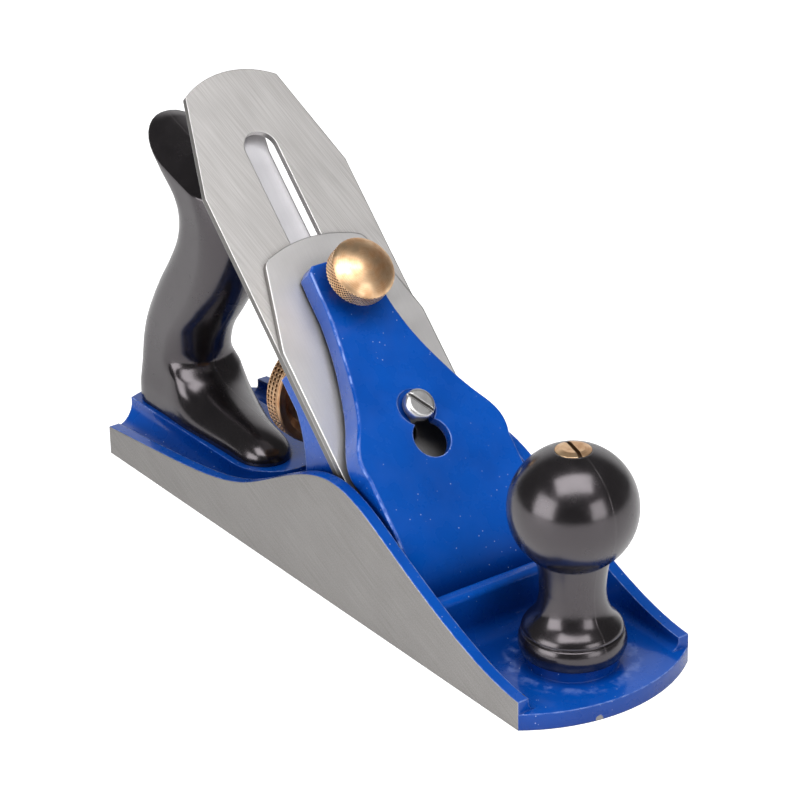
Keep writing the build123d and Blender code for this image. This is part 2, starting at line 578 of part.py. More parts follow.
def make_thumbscrew():
    """Turned profile about the screw's own axis: tip, stem, neck, knurled band and shallow dome."""
    tip = CAP_T + RUN_GAP + FREE_GAP
    neck = LEVER_FACE[0][1] + FREE_GAP
    rim = THUMB_R - THUMB_EDGE
    lower = Polyline((0, tip), (THUMB_STEM_R - 1, tip), (THUMB_STEM_R, tip + 1), (THUMB_STEM_R, neck),
                     (THUMB_NECK_R, neck), (THUMB_NECK_R, THUMB_W0), (rim, THUMB_W0),
                     (THUMB_R, THUMB_W0 + THUMB_EDGE), (THUMB_R, THUMB_W1 - THUMB_EDGE), (rim, THUMB_W1))
    dome = dome_arc(rim, THUMB_W1, THUMB_TOP_W)
    axis = Line((0, THUMB_TOP_W), (0, tip))
    screw = revolve(Plane.XZ * make_face([lower, dome, axis]), Axis.Z)
    return BLADE * (Pos(THUMB_U, 0, 0) * screw)


# Depth adjustment
def turned_x(points, z):
    """A profile of X and radius turned about the line along X at height z."""
    return Pos(0, 0, z) * revolve(Plane.XZ * make_face(outline(*points)), Axis.X)


def make_depth_nut():
    bore = STUD_R + RUN_GAP
    rim = NUT_R - NUT_RIM
    return turned_x([(NUT_REAR_X + 1.2, bore), (NUT_REAR_X + 1.2, rim - 1), (NUT_REAR_X, rim), (NUT_REAR_X, NUT_R - 0.6),
                     (NUT_REAR_X + 0.6, NUT_R), (NUT_FRONT_X - 0.6, NUT_R), (NUT_FRONT_X, NUT_R - 0.6),
                     (NUT_FRONT_X, rim), (NUT_FRONT_X - NUT_DISH, rim - 2.4), (NUT_FRONT_X - NUT_DISH, NUT_HUB_R),
                     (NUT_GROOVE_X0, NUT_HUB_R), (NUT_GROOVE_X0, NUT_GROOVE_R), (NUT_GROOVE_X1, NUT_GROOVE_R),
                     (NUT_GROOVE_X1, NUT_FLANGE_R), (NUT_END_X, NUT_FLANGE_R), (NUT_END_X, bore)], NUT_Z)


def make_depth_stud():
    stud = rod_x(STUD_R, STUD_REAR_X, STUD_END_X, NUT_Z)
    return chamfer(stud.edges().group_by(Axis.X)[0], 0.8)


def make_yoke():
    x, z = blade_point(YOKE_U, YOKE_W)
    hub = rod_y(YOKE_HUB_R, -YOKE_HUB_HALF, YOKE_HUB_HALF, x, z)
    half = YOKE_FINGER_T / 2
    finger = outline((YOKE_U - YOKE_HUB_R, YOKE_W), (YOKE_TIP_U - half, -1), (YOKE_TIP_U - half + 0.4, YOKE_TIP_W),
                     (YOKE_TIP_U + half - 0.4, YOKE_TIP_W), (YOKE_TIP_U + half, -1), (YOKE_U + YOKE_HUB_R, YOKE_W))
    finger = BLADE * side_plate(finger, YOKE_FINGER_HALF)
    x0, x1 = YOKE_PRONG_X - YOKE_PRONG_T / 2, YOKE_PRONG_X + YOKE_PRONG_T / 2
    inner = NUT_GROOVE_R + FREE_GAP
    prong = side_plate(outline((x + 2.2, z - 1.9), (x1, z - 5.5), (x1, YOKE_PRONG_Z), (x0, YOKE_PRONG_Z),
                               (x0, z - 4.2), (x - 2.4, z + 1.8)), YOKE_PRONG_Y / 2)
    prongs = both_sides(Pos(0, inner + YOKE_PRONG_Y / 2, 0) * prong)
    return hub + finger + prongs - rod_y(PIN_R + RUN_GAP, -20, 20, x, z)


def make_yoke_pin():
    x, z = blade_point(YOKE_U, YOKE_W)
    return rod_y(PIN_R, -PIN_HALF, PIN_HALF, x, z)


# Lateral adjustment
def make_lateral_lever():
    """Strip steel: flat on the frog, bent back behind the iron and turned over as a finger tab."""
    f, b, t = LATERAL_FRONT_W, LATERAL_BACK_W, LATERAL_T
    step = f - b
    low = ROLLER_U - LATERAL_FOOT_R
    bend, top = LATERAL_BEND_U, LATERAL_TOP_U
    strip = outline((low, f), (bend, f), (bend + step, b), (top, b), (top, b - LATERAL_TAB_L),
                    (top - t, b - LATERAL_TAB_L), (top - t, b - t), (bend + step - 0.9, b - t), (bend - 0.9, f - t),
                    (low, f - t))
    h, tab = LATERAL_HALF, LATERAL_TAB_HALF
    plan = outline((ROLLER_U, -LATERAL_FOOT_R), (bend, -h), (top - 14, -h), (top - 5, -tab), (top, -tab), (top, tab),
                   (top - 5, tab), (top - 14, h), (bend, h), (ROLLER_U, LATERAL_FOOT_R))
    shape = extrude(make_face(plan), amount=40) + post(LATERAL_FOOT_R, 0, 40, (ROLLER_U, 0))
    lever = side_plate(strip, 2 * tab) & (Pos(0, 0, -30) * shape)
    lever -= post(RIVET_R + RUN_GAP, -20, 0, (LATERAL_U, 0))
    return BLADE * (lever - post(ROLLER_PIN_R + RUN_GAP, -20, 0, (ROLLER_U, 0)))


def make_lateral_rivet():
    return BLADE * post(RIVET_R, RIVET_END_W, LATERAL_BACK_W + 0.2, (LATERAL_U, 0))


def make_roller():
    low = LATERAL_FRONT_W + 0.2
    ring = post(ROLLER_R, low, low + ROLLER_T, (ROLLER_U, 0)) - post(ROLLER_PIN_R + RUN_GAP, -9, 9, (ROLLER_U, 0))
    return BLADE * ring


def make_roller_pin():
    return BLADE * post(ROLLER_PIN_R, LATERAL_FRONT_W - LATERAL_T, LATERAL_FRONT_W + 0.2 + ROLLER_T, (ROLLER_U, 0))


# Knob
def make_knob():
    """Turned profile of radius and height: foot ring, groove, bell-shaped waist, neck and ball."""
    base = BOSS_TOP + RUN_GAP
    ball_low = KNOB_BALL_Z - KNOB_BALL_R * 0.82
    ball_r = sqrt(KNOB_BALL_R ** 2 - (KNOB_BALL_Z - ball_low) ** 2)
    top = KNOB_BALL_Z + KNOB_BALL_R
    groove = base + KNOB_RING_H
    ring_foot = (KNOB_RING_R - 0.9, base)
    ring_top = (KNOB_RING_R - 0.8, groove)
    ring = ThreePointArc(ring_foot, (KNOB_RING_R, base + KNOB_RING_H / 2), ring_top)
    step = Polyline(ring_top, (KNOB_GROOVE_R, groove + KNOB_GROOVE_H), KNOB_BELL[0])
    waist = Spline(*KNOB_BELL)
    neck = TangentArc(KNOB_BELL[-1], (ball_r, ball_low), tangent=waist % 1)
    ball = ThreePointArc((ball_r, ball_low), (KNOB_BALL_R, KNOB_BALL_Z), (0, top))
    close = Polyline((0, top), (0, base), ring_foot)
    knob = revolve(Plane.XZ * make_face([ring, step, waist, neck, ball, close]), Axis.Z)
    knob -= post(ROD_HOLE_R, 0, top, (0, 0)) + post(KNOB_NUT_R + RUN_GAP, KNOB_NUT_Z0, top + 5, (0, 0))
    return Pos(KNOB_X, 0, 0) * knob


def make_knob_rod():
    return post(ROD_R, 1.5, KNOB_NUT_Z0 + ROD_IN_NUT, (KNOB_X, 0))


def round_nut(radius, length):
    """Slotted round nut standing on its lower end, with a domed top and a blind hole for the rod."""
    nut = Pos(0, 0, length / 2) * Cylinder(radius, length)
    nut = chamfer(nut.edges().group_by(Axis.Z)[-1], 0.6, 1.8)
    nut -= Pos(0, 0, length) * Box(3 * radius, 1.2, 2.4)
    return nut - post(ROD_R + RUN_GAP, -1, length - 2.4)


def make_knob_nut():
    low = KNOB_NUT_Z0 + RUN_GAP
    return Pos(KNOB_X, 0, low) * Rot(0, 0, -16) * round_nut(KNOB_NUT_R, KNOB_NUT_TOP - low)


# Tote
def tote_lean():
    (x0, z0), (x1, z1) = TOTE_ROD_FOOT, TOTE_ROD_HEAD
    return degrees(atan2(x1 - x0, z1 - z0)), sqrt((x1 - x0) ** 2 + (z1 - z0) ** 2)


def on_tote_axis(shape):
    lean, _ = tote_lean()
    return Pos(TOTE_ROD_FOOT[0], 0, TOTE_ROD_FOOT[1]) * Rot(0, lean, 0) * shape


def tote_axis_post(radius, t0, t1):
    return on_tote_axis(post(radius, t0, t1))


def tote_section(level):
    """Level outline of the tote: straight flanks, rounded back and rounder front."""
    z, rear, front, half, rr, rf = level
    c = 1 - S
    edges = [Line((rear, -half + rr), (rear, half - rr)),
             ThreePointArc((rear, half - rr), (rear + rr * c, half - rr * c), (rear + rr, half)),
             Line((rear + rr, half), (front - rf, half)),
             ThreePointArc((front - rf, half), (front - rf * c, half - rf * c), (front, half - rf)),
             Line((front, half - rf), (front, -half + rf)),
             ThreePointArc((front, -half + rf), (front - rf * c, -half + rf * c), (front - rf, -half)),
             Line((front - rf, -half), (rear + rr, -half)),
             ThreePointArc((rear + rr, -half), (rear + rr * c, -half + rr * c), (rear, -half + rr))]
    return Pos(0, 0, z) * make_face(edges)


def above_tote():
    """Everything over the sloping, slightly crowned top of the tote."""
    (x0, z0), (x1, z1) = TOTE_TOP
    slope = Plane(origin=(x0, 0, z0), x_dir=(x1 - x0, 0, z1 - z0), z_dir=(z0 - z1, 0, x1 - x0))
    far = 2 * HALF_WIDTH
    crown = rod_x(TOTE_CROWN_R, -2 * far, 2 * far, -TOTE_CROWN_R)
    return slope * (block(-far, far, -far, far, -TOTE_CROWN_R / 2, far) - crown)


def make_tote():
    tote = loft([tote_section(level) for level in TOTE_LEVELS]) - above_tote()
    _, length = tote_lean()
    tote -= tote_axis_post(ROD_HOLE_R, -20, length + 30)
    return tote - tote_axis_post(KNOB_NUT_R + RUN_GAP, length - ROD_NUT_L, length + 30)


def make_tote_rod():
    _, length = tote_lean()
    return tote_axis_post(ROD_R, 0, length - ROD_NUT_L + ROD_IN_NUT)


def make_tote_nut():
    _, length = tote_lean()
    low = length - ROD_NUT_L + RUN_GAP
    return on_tote_axis(Pos(0, 0, low) * Rot(0, 0, 30) * round_nut(KNOB_NUT_R, ROD_NUT_L - ROD_NUT_SINK))


NODES = {
    "body": make_body,
    "frog": make_frog,
    "frog_screws": make_frog_screws,
    "frog_screw_washers": make_frog_washers,
    "frog_adjusting_plate": make_adjusting_plate,
    "frog_adjusting_plate_screw": make_plate_screw,
    "frog_adjusting_screw": make_adjusting_screw,
    "cutting_iron": make_iron,
    "cap_iron": make_cap_iron,
    "cap_iron_screw": make_cap_iron_screw,
    "lever_cap": make_lever_cap,
    "lever_cap_screw": make_lever_screw,
    "lever_cap_thumbscrew": make_thumbscrew,
    "depth_nut": make_depth_nut,
    "depth_stud": make_depth_stud,
    "depth_yoke": make_yoke,
    "yoke_pin": make_yoke_pin,
    "lateral_lever": make_lateral_lever,
    "lateral_lever_rivet": make_lateral_rivet,
    "lateral_roller": make_roller,
    "lateral_roller_pin": make_roller_pin,
    "front_knob": make_knob,
    "knob_rod": make_knob_rod,
    "knob_nut": make_knob_nut,
    "tote": make_tote,
    "tote_rod": make_tote_rod,
    "tote_nut": make_tote_nut,
}

for name, make in NODES.items():
    export_step(make(), f"parts/{name}.step")
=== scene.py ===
import bmesh
import bpy
from math import cos, pi, radians, sin, sqrt
from mathutils import Matrix, Vector


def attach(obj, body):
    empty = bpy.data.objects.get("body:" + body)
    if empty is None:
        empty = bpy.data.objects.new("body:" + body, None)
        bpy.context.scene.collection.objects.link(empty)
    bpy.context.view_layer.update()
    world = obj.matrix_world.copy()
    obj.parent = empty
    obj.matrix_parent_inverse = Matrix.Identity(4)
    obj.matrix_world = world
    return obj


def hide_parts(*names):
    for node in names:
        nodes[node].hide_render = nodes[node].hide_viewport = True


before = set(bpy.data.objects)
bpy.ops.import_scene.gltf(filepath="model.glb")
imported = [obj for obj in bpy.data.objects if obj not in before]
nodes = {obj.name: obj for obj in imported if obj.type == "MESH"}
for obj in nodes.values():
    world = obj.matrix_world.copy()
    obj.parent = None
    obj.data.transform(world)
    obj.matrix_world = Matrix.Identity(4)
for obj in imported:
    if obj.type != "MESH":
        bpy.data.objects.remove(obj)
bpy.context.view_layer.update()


# Sole casting
# Cast iron in one piece: sole, cheeks, mouth, frog seat, knob boss and tote pad.
# Sprayed with blue enamel, then the sole and the outer faces of the cheeks are ground bare.
SOLE_HALF_WIDTH = 0.030
SIDE_SKIN, UNDER_SKIN = 0.00025, 0.0002
ENAMEL_BLUE = (0.0005, 0.076, 0.42, 1)
# Deep blue for random tone in the paint and for painted shade in its hollows.
ENAMEL_DEEP_AND_SHADE = (0.0004, 0.018, 0.16, 1)
# Light blue for paint worn down on edges and rubbed places, and for the painted highlights there.
ENAMEL_THIN_AND_HIGHLIGHT = (0.20, 0.30, 0.68, 1)
ENAMEL_SPECK = (0.42, 0.50, 0.78, 1)
GROUND_DARK = (0.18, 0.172, 0.165, 1)
GROUND_LIGHT = (0.37, 0.357, 0.348, 1)
# Light grey for the painted highlight along edges of the bare iron.
GROUND_EDGE_HIGHLIGHT = (0.62, 0.60, 0.58, 1)
GRINDING_TURN = (0, radians(-24), 0)
TOE_CHIP = (0.1162, -0.0092, 0.0004)
TOE_CHIP_RADIUS = 0.0017
KNOB_PLACE = (0.0929, 0, 0)
FINISH_SOCKETS = [("Color", "Color"), ("Roughness", "Float"), ("Height", "Float")]


def add(tree, kind, values=None, **settings):
    """Adds a shader node. A value that is a socket becomes a link, any other is set on the input."""
    node = tree.nodes.new("ShaderNode" + kind)
    for key, value in settings.items():
        setattr(node, key, value)
    for key, value in (values or {}).items():
        if isinstance(value, bpy.types.NodeSocket):
            tree.links.new(value, node.inputs[key])
        else:
            node.inputs[key].default_value = value
    return node


def calc(tree, operation, *values):
    """Result of one math node."""
    return add(tree, "Math", dict(enumerate(values)), operation=operation).outputs[0]


def times(tree, first, second):
    """Product of two values."""
    return calc(tree, "MULTIPLY", first, second)


def plus(tree, first, second):
    """Sum of two values."""
    return calc(tree, "ADD", first, second)


def dot(tree, first, second):
    """Dot product of two vectors."""
    return add(tree, "VectorMath", {0: first, 1: second}, operation="DOT_PRODUCT").outputs["Value"]


def ease(tree, value, low, high, to_low=0.0, to_high=1.0):
    """Value brought smoothly from the range low to high into the range to_low to to_high."""
    values = {0: value, 1: low, 2: high, 3: to_low, 4: to_high}
    return add(tree, "MapRange", values, interpolation_type="SMOOTHSTEP").outputs[0]


def mix_colour(tree, amount, first, second):
    """Colour between first and second."""
    return add(tree, "Mix", {0: amount, 6: first, 7: second}, data_type="RGBA").outputs[2]


def mix_value(tree, amount, first, second):
    """Value between first and second."""
    return add(tree, "Mix", {0: amount, 2: first, 3: second}).outputs[0]


def noise(tree, place, scale, detail=2.0, stretch=(1, 1, 1)):
    """Noise value at a place, with its coordinates stretched first."""
    mapped = add(tree, "Mapping", {"Vector": place, "Scale": stretch}).outputs[0]
    return add(tree, "TexNoise", {"Vector": mapped, "Scale": scale, "Detail": detail}).outputs[0]


def scatter(tree, place, scale):
    """Distance to the nearest of many scattered points."""
    return add(tree, "TexVoronoi", {"Vector": place, "Scale": scale}).outputs["Distance"]


def effect(name, inputs, outputs):
    """An empty shader node group with its sockets, and its input and output nodes."""
    tree = bpy.data.node_groups.new(name, "ShaderNodeTree")
    for label, kind in inputs:
        tree.interface.new_socket(label, in_out="INPUT", socket_type="NodeSocket" + kind)
    for label, kind in outputs:
        tree.interface.new_socket(label, in_out="OUTPUT", socket_type="NodeSocket" + kind)
    return tree, tree.nodes.new("NodeGroupInput"), tree.nodes.new("NodeGroupOutput")


def give(tree, end, **results):
    """Links results to the outputs of a node group, by their names."""
    for label, socket in results.items():
        tree.links.new(socket, end.inputs[label])


def use(tree, group, **values):
    """Outputs of a node group put into a tree with these inputs."""
    return add(tree, "Group", values, node_tree=group).outputs


def bumped(tree, strength, depth, height, normal):
    """Normal after a bump of some strength and depth."""
    values = {"Strength": strength, "Distance": depth, "Height": height, "Normal": normal}
    return add(tree, "Bump", values).outputs[0]


def edges_effect():
    """Masks of the outer edges (for chips, wear and painted edge highlights), of the hollows (for painted
    shade) and of the open air, and a normal that rounds the edges.
    """
    sockets = [("Radius", "Float"), ("Reach", "Float")]
    results = [("Edge", "Float"), ("Hollow", "Float"), ("Open", "Float"), ("Normal", "Vector")]
    tree, start, end = effect("edges", sockets, results)
    rounded = add(tree, "Bevel", {"Radius": start.outputs["Radius"]}, samples=8).outputs[0]
    flat = add(tree, "NewGeometry").outputs["Normal"]
    bend = ease(tree, dot(tree, rounded, flat), 0.995, 0.90)
    open_air = add(tree, "AmbientOcclusion", {"Distance": start.outputs["Reach"]}, samples=8).outputs["AO"]
    edge = times(tree, bend, ease(tree, open_air, 0.5, 0.8))
    give(tree, end, Edge=edge, Hollow=ease(tree, open_air, 0.90, 0.30), Open=open_air, Normal=rounded)
    return tree


def enamel_effect():
    """Gloss enamel over a rough casting: colour, roughness and height of the paint film, with painted shade
    in the hollows and a painted highlight along the edges.
    """
    sockets = [("Edge", "Float"), ("Hollow", "Float"), ("Rub", "Float")]
    tree, start, end = effect("enamel", sockets, FINISH_SOCKETS)
    place = add(tree, "TexCoord").outputs["Object"]
    cloud = ease(tree, noise(tree, place, 55, 3), 0.35, 0.75, 0, 0.25)
    colour = mix_colour(tree, cloud, ENAMEL_BLUE, ENAMEL_DEEP_AND_SHADE)
    # Painted shade: the enamel darkens to deep blue in hollows and under overhanging parts.
    shade = times(tree, start.outputs["Hollow"], 0.8)
    colour = mix_colour(tree, shade, colour, ENAMEL_DEEP_AND_SHADE)
    # Paint worn down on the edges, with a painted highlight along them.
    patchy = ease(tree, noise(tree, place, 420, 3), 0.35, 0.65, 0.25, 1.0)
    thin_and_highlit_edges = times(tree, start.outputs["Edge"], patchy)
    # Rubbed paint with a painted highlight where the rub and highlight mask is.
    rub_and_highlight_patches = ease(tree, noise(tree, place, 330, 4), 0.42, 0.68)
    scuffs_and_highlights = times(tree, start.outputs["Rub"], rub_and_highlight_patches)
    colour = mix_colour(tree, calc(tree, "MAXIMUM", thin_and_highlit_edges, scuffs_and_highlights), colour, ENAMEL_THIN_AND_HIGHLIGHT)
    some = ease(tree, noise(tree, place, 130, 1), 0.48, 0.58)
    speck = times(tree, ease(tree, scatter(tree, place, 520), 0.12, 0.05), some)
    colour = mix_colour(tree, times(tree, speck, 0.75), colour, ENAMEL_SPECK)
    peel = times(tree, noise(tree, place, 1100, 1), 0.35)
    cast = times(tree, noise(tree, place, 240, 2), 1.2)
    height = plus(tree, plus(tree, peel, cast), times(tree, speck, 0.9))
    height = plus(tree, height, times(tree, scuffs_and_highlights, 0.7))
    haze = ease(tree, noise(tree, place, 130, 4), 0.3, 0.75, 0.22, 0.40)
    give(tree, end, Color=colour, Roughness=haze, Height=height)
    return tree


def lines_effect():
    """Fine marks left by grinding or brushing along X of the place given: value and height."""
    tree, start, end = effect("fine_lines", [("Place", "Vector")], [("Lines", "Float"), ("Height", "Float")])
    place = start.outputs["Place"]
    fine = noise(tree, place, 1, 2, (90, 7000, 7000))
    scored = noise(tree, place, 1, 1, (60, 3300, 3300))
    broad = noise(tree, place, 1, 2, (30, 900, 900))
    lines = plus(tree, times(tree, fine, 0.3), times(tree, scored, 0.55))
    lines = plus(tree, lines, times(tree, broad, 0.15))
    give(tree, end, Lines=ease(tree, lines, 0.3, 0.7), Height=lines)
    return tree


def new_material(name):
    """A material with one principled shader, and its node tree."""
    material = bpy.data.materials.new(name)
    material.use_nodes = True
    tree = material.node_tree
    return material, tree, tree.nodes["Principled BSDF"]


def feed(tree, shader, **sockets):
    """Links results to the shader's inputs: Base_Color, Roughness, Metallic and so on."""
    for label, socket in sockets.items():
        tree.links.new(socket, shader.inputs[label.replace("_", " ")])


def finish_node(name, material):
    """Gives a CAD node its material."""
    nodes[name].data.materials.clear()
    nodes[name].data.materials.append(material)


EDGES = edges_effect()
ENAMEL = enamel_effect()
LINES = lines_effect()


def far_from(tree, place, point, stretch=(1, 1, 1)):
    """Distance of the place from a point, with each direction stretched."""
    apart = add(tree, "VectorMath", {0: place, 1: point}, operation="SUBTRACT").outputs[0]
    apart = add(tree, "VectorMath", {0: apart, 1: stretch}, operation="MULTIPLY").outputs[0]
    return add(tree, "VectorMath", {0: apart}, operation="LENGTH").outputs["Value"]


def casting_material(name, bare_mask, rub_and_highlight_mask):
    """Blue enamel with chipped edges, painted shade in its hollows and a painted highlight along its edges;
    bare ground iron, with a painted highlight on its edges, where bare_mask is 1; paint worn down with a
    painted highlight where the second mask is.
    """
    material, tree, shader = new_material(name)
    place = add(tree, "TexCoord").outputs["Object"]
    edges = use(tree, EDGES, Radius=0.0008, Reach=0.020)
    paint = use(tree, ENAMEL, Edge=edges["Edge"], Hollow=edges["Hollow"], Rub=rub_and_highlight_mask(tree, place))
    turned = add(tree, "Mapping", {"Vector": place, "Rotation": GRINDING_TURN}).outputs[0]
    marks = use(tree, LINES, Place=turned)
    mottle = noise(tree, place, 75, 4)
    grain = ease(tree, noise(tree, place, 2600, 2), 0.3, 0.7)
    tone = plus(tree, times(tree, marks["Lines"], 0.35), times(tree, mottle, 0.35))
    tone = plus(tree, tone, times(tree, grain, 0.3))
    iron = mix_colour(tree, tone, GROUND_DARK, GROUND_LIGHT)
    nick = ease(tree, noise(tree, place, 310, 3), 0.66, 0.72)
    chip = times(tree, times(tree, edges["Edge"], nick), 0.9)
    ragged = times(tree, noise(tree, place, 900, 2), 0.0009)
    dent = plus(tree, far_from(tree, place, TOE_CHIP), ragged)
    chip = calc(tree, "MAXIMUM", chip, ease(tree, dent, TOE_CHIP_RADIUS, TOE_CHIP_RADIUS - 0.0003))
    bare = bare_mask(tree, place)
    metal = calc(tree, "MAXIMUM", bare, chip)
    colour = mix_colour(tree, metal, paint["Color"], iron)
    # Painted highlight along the edges of the bare ground iron.
    bare_edge_highlight = times(tree, times(tree, edges["Edge"], bare), 0.5)
    colour = mix_colour(tree, bare_edge_highlight, colour, GROUND_EDGE_HIGHLIGHT)
    iron_rough = plus(tree, times(tree, tone, 0.16), 0.36)
    rough = mix_value(tree, metal, paint["Roughness"], iron_rough)
    height = mix_value(tree, bare, paint["Height"], times(tree, marks["Height"], 0.5))
    height = calc(tree, "SUBTRACT", height, times(tree, chip, 2.0))
    bump = bumped(tree, 0.5, 0.00003, height, edges["Normal"])
    coat = times(tree, calc(tree, "SUBTRACT", 1.0, metal), 0.3)
    feed(tree, shader, Base_Color=colour, Metallic=metal, Roughness=rough, Coat_Weight=coat, Normal=bump)
    shader.inputs["Specular IOR Level"].default_value = 0.2
    shader.inputs["Coat Roughness"].default_value = 0.08
    return material


def ground_faces(tree, place):
    """The sole's underside and the outer faces of the cheeks."""
    spot = add(tree, "SeparateXYZ", {0: place}).outputs
    way = add(tree, "SeparateXYZ", {0: add(tree, "TexCoord").outputs["Normal"]}).outputs
    side = calc(tree, "GREATER_THAN", calc(tree, "ABSOLUTE", spot["Y"]), SOLE_HALF_WIDTH - SIDE_SKIN)
    side = times(tree, side, calc(tree, "GREATER_THAN", calc(tree, "ABSOLUTE", way["Y"]), 0.8))
    under = calc(tree, "LESS_THAN", spot["Z"], UNDER_SKIN)
    under = times(tree, under, calc(tree, "LESS_THAN", way["Z"], -0.8))
    return calc(tree, "MAXIMUM", side, under)


def knob_ring_rub_and_reflection(tree, place):
    """The paint round the foot of the knob, thinned where the knob has been turned, with a painted reflection
    of the light on it.
    """
    ring = far_from(tree, place, KNOB_PLACE, (1, 1, 0.2))
    ring = times(tree, ease(tree, ring, 0.0152, 0.0165), ease(tree, ring, 0.0205, 0.0180))
    return times(tree, ring, 0.35)


SOLE_FINISH = casting_material("sole_enamel_and_ground_iron", ground_faces, knob_ring_rub_and_reflection)
finish_node("body", SOLE_FINISH)


# Frog
# Cast iron wedge that carries the cutting iron at 45 degrees, held to the sole by two screws.
# Painted like the sole; its sloping bed is machined bare.
OUT_OF_BED = (sqrt(0.5), 0, sqrt(0.5))
BLADE_FOOT_X = 0.0565
BLADE_LEVEL = BLADE_FOOT_X * sqrt(0.5)


def frog_bed(tree, place):
    """The machined face that the cutting iron lies on."""
    facing = dot(tree, add(tree, "TexCoord").outputs["Normal"], OUT_OF_BED)
    near = calc(tree, "GREATER_THAN", dot(tree, place, OUT_OF_BED), BLADE_LEVEL - 0.0027)
    return times(tree, near, calc(tree, "GREATER_THAN", facing, 0.98))


def nothing(tree, place):
    """An empty mask."""
    mask = add(tree, "Value").outputs[0]
    mask.default_value = 0
    return mask


FROG_FINISH = casting_material("frog_enamel_and_machined_bed", frog_bed, nothing)
finish_node("frog", FROG_FINISH)


# Frog screws, washers and adjusting parts
# Two slotted screws on washers hold the frog down; a long screw in a forked plate moves it.
# Turned and stamped mild steel, left bare and lightly oiled.
STEEL_DARK = (0.30, 0.29, 0.28, 1)
STEEL_LIGHT = (0.56, 0.545, 0.53, 1)
# Dark for painted shade on side faces, dark grey for painted shade in hollows, pale for painted highlights on
# edges.
STEEL_SIDE_SHADE = (0.09, 0.085, 0.08, 1)
STEEL_SHADE = (0.10, 0.09, 0.085, 1)
STEEL_EDGE_HIGHLIGHT = (0.72, 0.71, 0.70, 1)
ALONG_BED = (0, radians(-45), 0)


def steel_material(name, dark, light, rough, turn, edge_radius=0.0004, marks=0.6, side_shade=0.0, reach=0.004):
    """Bare steel with fine marks and smudges; painted shade in its hollows and on faces turned to the side,
    and a painted highlight along its edges.
    """
    material, tree, shader = new_material(name)
    place = add(tree, "TexCoord").outputs["Object"]
    edges = use(tree, EDGES, Radius=edge_radius, Reach=reach)
    turned = add(tree, "Mapping", {"Vector": place, "Rotation": turn}).outputs[0]
    lines = use(tree, LINES, Place=turned)
    smudge = noise(tree, place, 120, 4)
    tone = mix_value(tree, marks, smudge, lines["Lines"])
    colour = mix_colour(tree, tone, dark, light)
    way = add(tree, "SeparateXYZ", {0: add(tree, "TexCoord").outputs["Normal"]}).outputs["Y"]
    # Painted shade on faces turned to the side.
    side = ease(tree, calc(tree, "ABSOLUTE", way), 0.5, 0.8, 0.0, side_shade)
    colour = mix_colour(tree, side, colour, STEEL_SIDE_SHADE)
    # Painted shade in hollows and under overhanging parts.
    colour = mix_colour(tree, times(tree, edges["Hollow"], 0.6), colour, STEEL_SHADE)
    # Painted highlight along the edges.
    colour = mix_colour(tree, times(tree, edges["Edge"], 0.6), colour, STEEL_EDGE_HIGHLIGHT)
    change = plus(tree, times(tree, smudge, 0.2), times(tree, edges["Edge"], -0.1))
    roughness = plus(tree, change, rough - 0.1)
    bump = bumped(tree, 0.45, 0.00002, times(tree, lines["Height"], marks), edges["Normal"])
    feed(tree, shader, Base_Color=colour, Roughness=roughness, Normal=bump)
    shader.inputs["Metallic"].default_value = 1
    return material


PLAIN_STEEL = steel_material("bare_oiled_steel", STEEL_DARK, STEEL_LIGHT, 0.38, ALONG_BED)
for part in ("frog_screws", "frog_screw_washers", "frog_adjusting_plate", "frog_adjusting_plate_screw",
             "frog_adjusting_screw"):
    finish_node(part, PLAIN_STEEL)


# Cutting iron
# A flat blade of tool steel, ground all over with the marks a little askew, its end honed to a bevel.
# It lies on the frog and is held by the lever cap.
IRON_DARK = (0.57, 0.55, 0.535, 1)
IRON_LIGHT = (0.74, 0.72, 0.71, 1)
ASKEW_ON_BED = (0, radians(-45), radians(-15))
# The side faces of the blade and of its slot get painted shade.
IRON_STEEL = steel_material("ground_blade_steel", IRON_DARK, IRON_LIGHT, 0.55, ASKEW_ON_BED,
                            marks=0.9, side_shade=0.75)
finish_node("cutting_iron", IRON_STEEL)


# Cap iron and its screw
# Spring steel strip whose bent nose presses on the iron just behind its edge; satin ground, edges rounded.
# A broad slotted screw through the iron's slot clamps the two together.
CAP_DARK = (0.60, 0.585, 0.58, 1)
CAP_LIGHT = (0.73, 0.715, 0.71, 1)
# A long reach spreads the painted shade under the overhanging lever cap.
CAP_STEEL = steel_material("satin_cap_steel", CAP_DARK, CAP_LIGHT, 0.52, ALONG_BED,
                           edge_radius=0.0006, marks=0.2, side_shade=0.6, reach=0.016)
finish_node("cap_iron", CAP_STEEL)
finish_node("cap_iron_screw", PLAIN_STEEL)


# Lever cap
# Cast iron cap that clamps both irons to the frog when its thumbscrew is tightened; hollow underneath.
# Sprayed all over with the same blue enamel as the sole.


def cap_edge_rub_and_highlight(tree, place):
    """The rounded edges round the upper face of the lever cap, where hands wear the paint down and a painted
    highlight runs along them.
    """
    way = add(tree, "TexCoord").outputs["Normal"]
    facing = dot(tree, way, OUT_OF_BED)
    rounded = times(tree, ease(tree, facing, 0.30, 0.50), ease(tree, facing, 0.97, 0.85))
    sideways = calc(tree, "ABSOLUTE", add(tree, "SeparateXYZ", {0: way}).outputs["Y"])
    return times(tree, rounded, ease(tree, sideways, 0.2, 0.4))


finish_node("lever_cap", casting_material("lever_cap_enamel", nothing, cap_edge_rub_and_highlight))


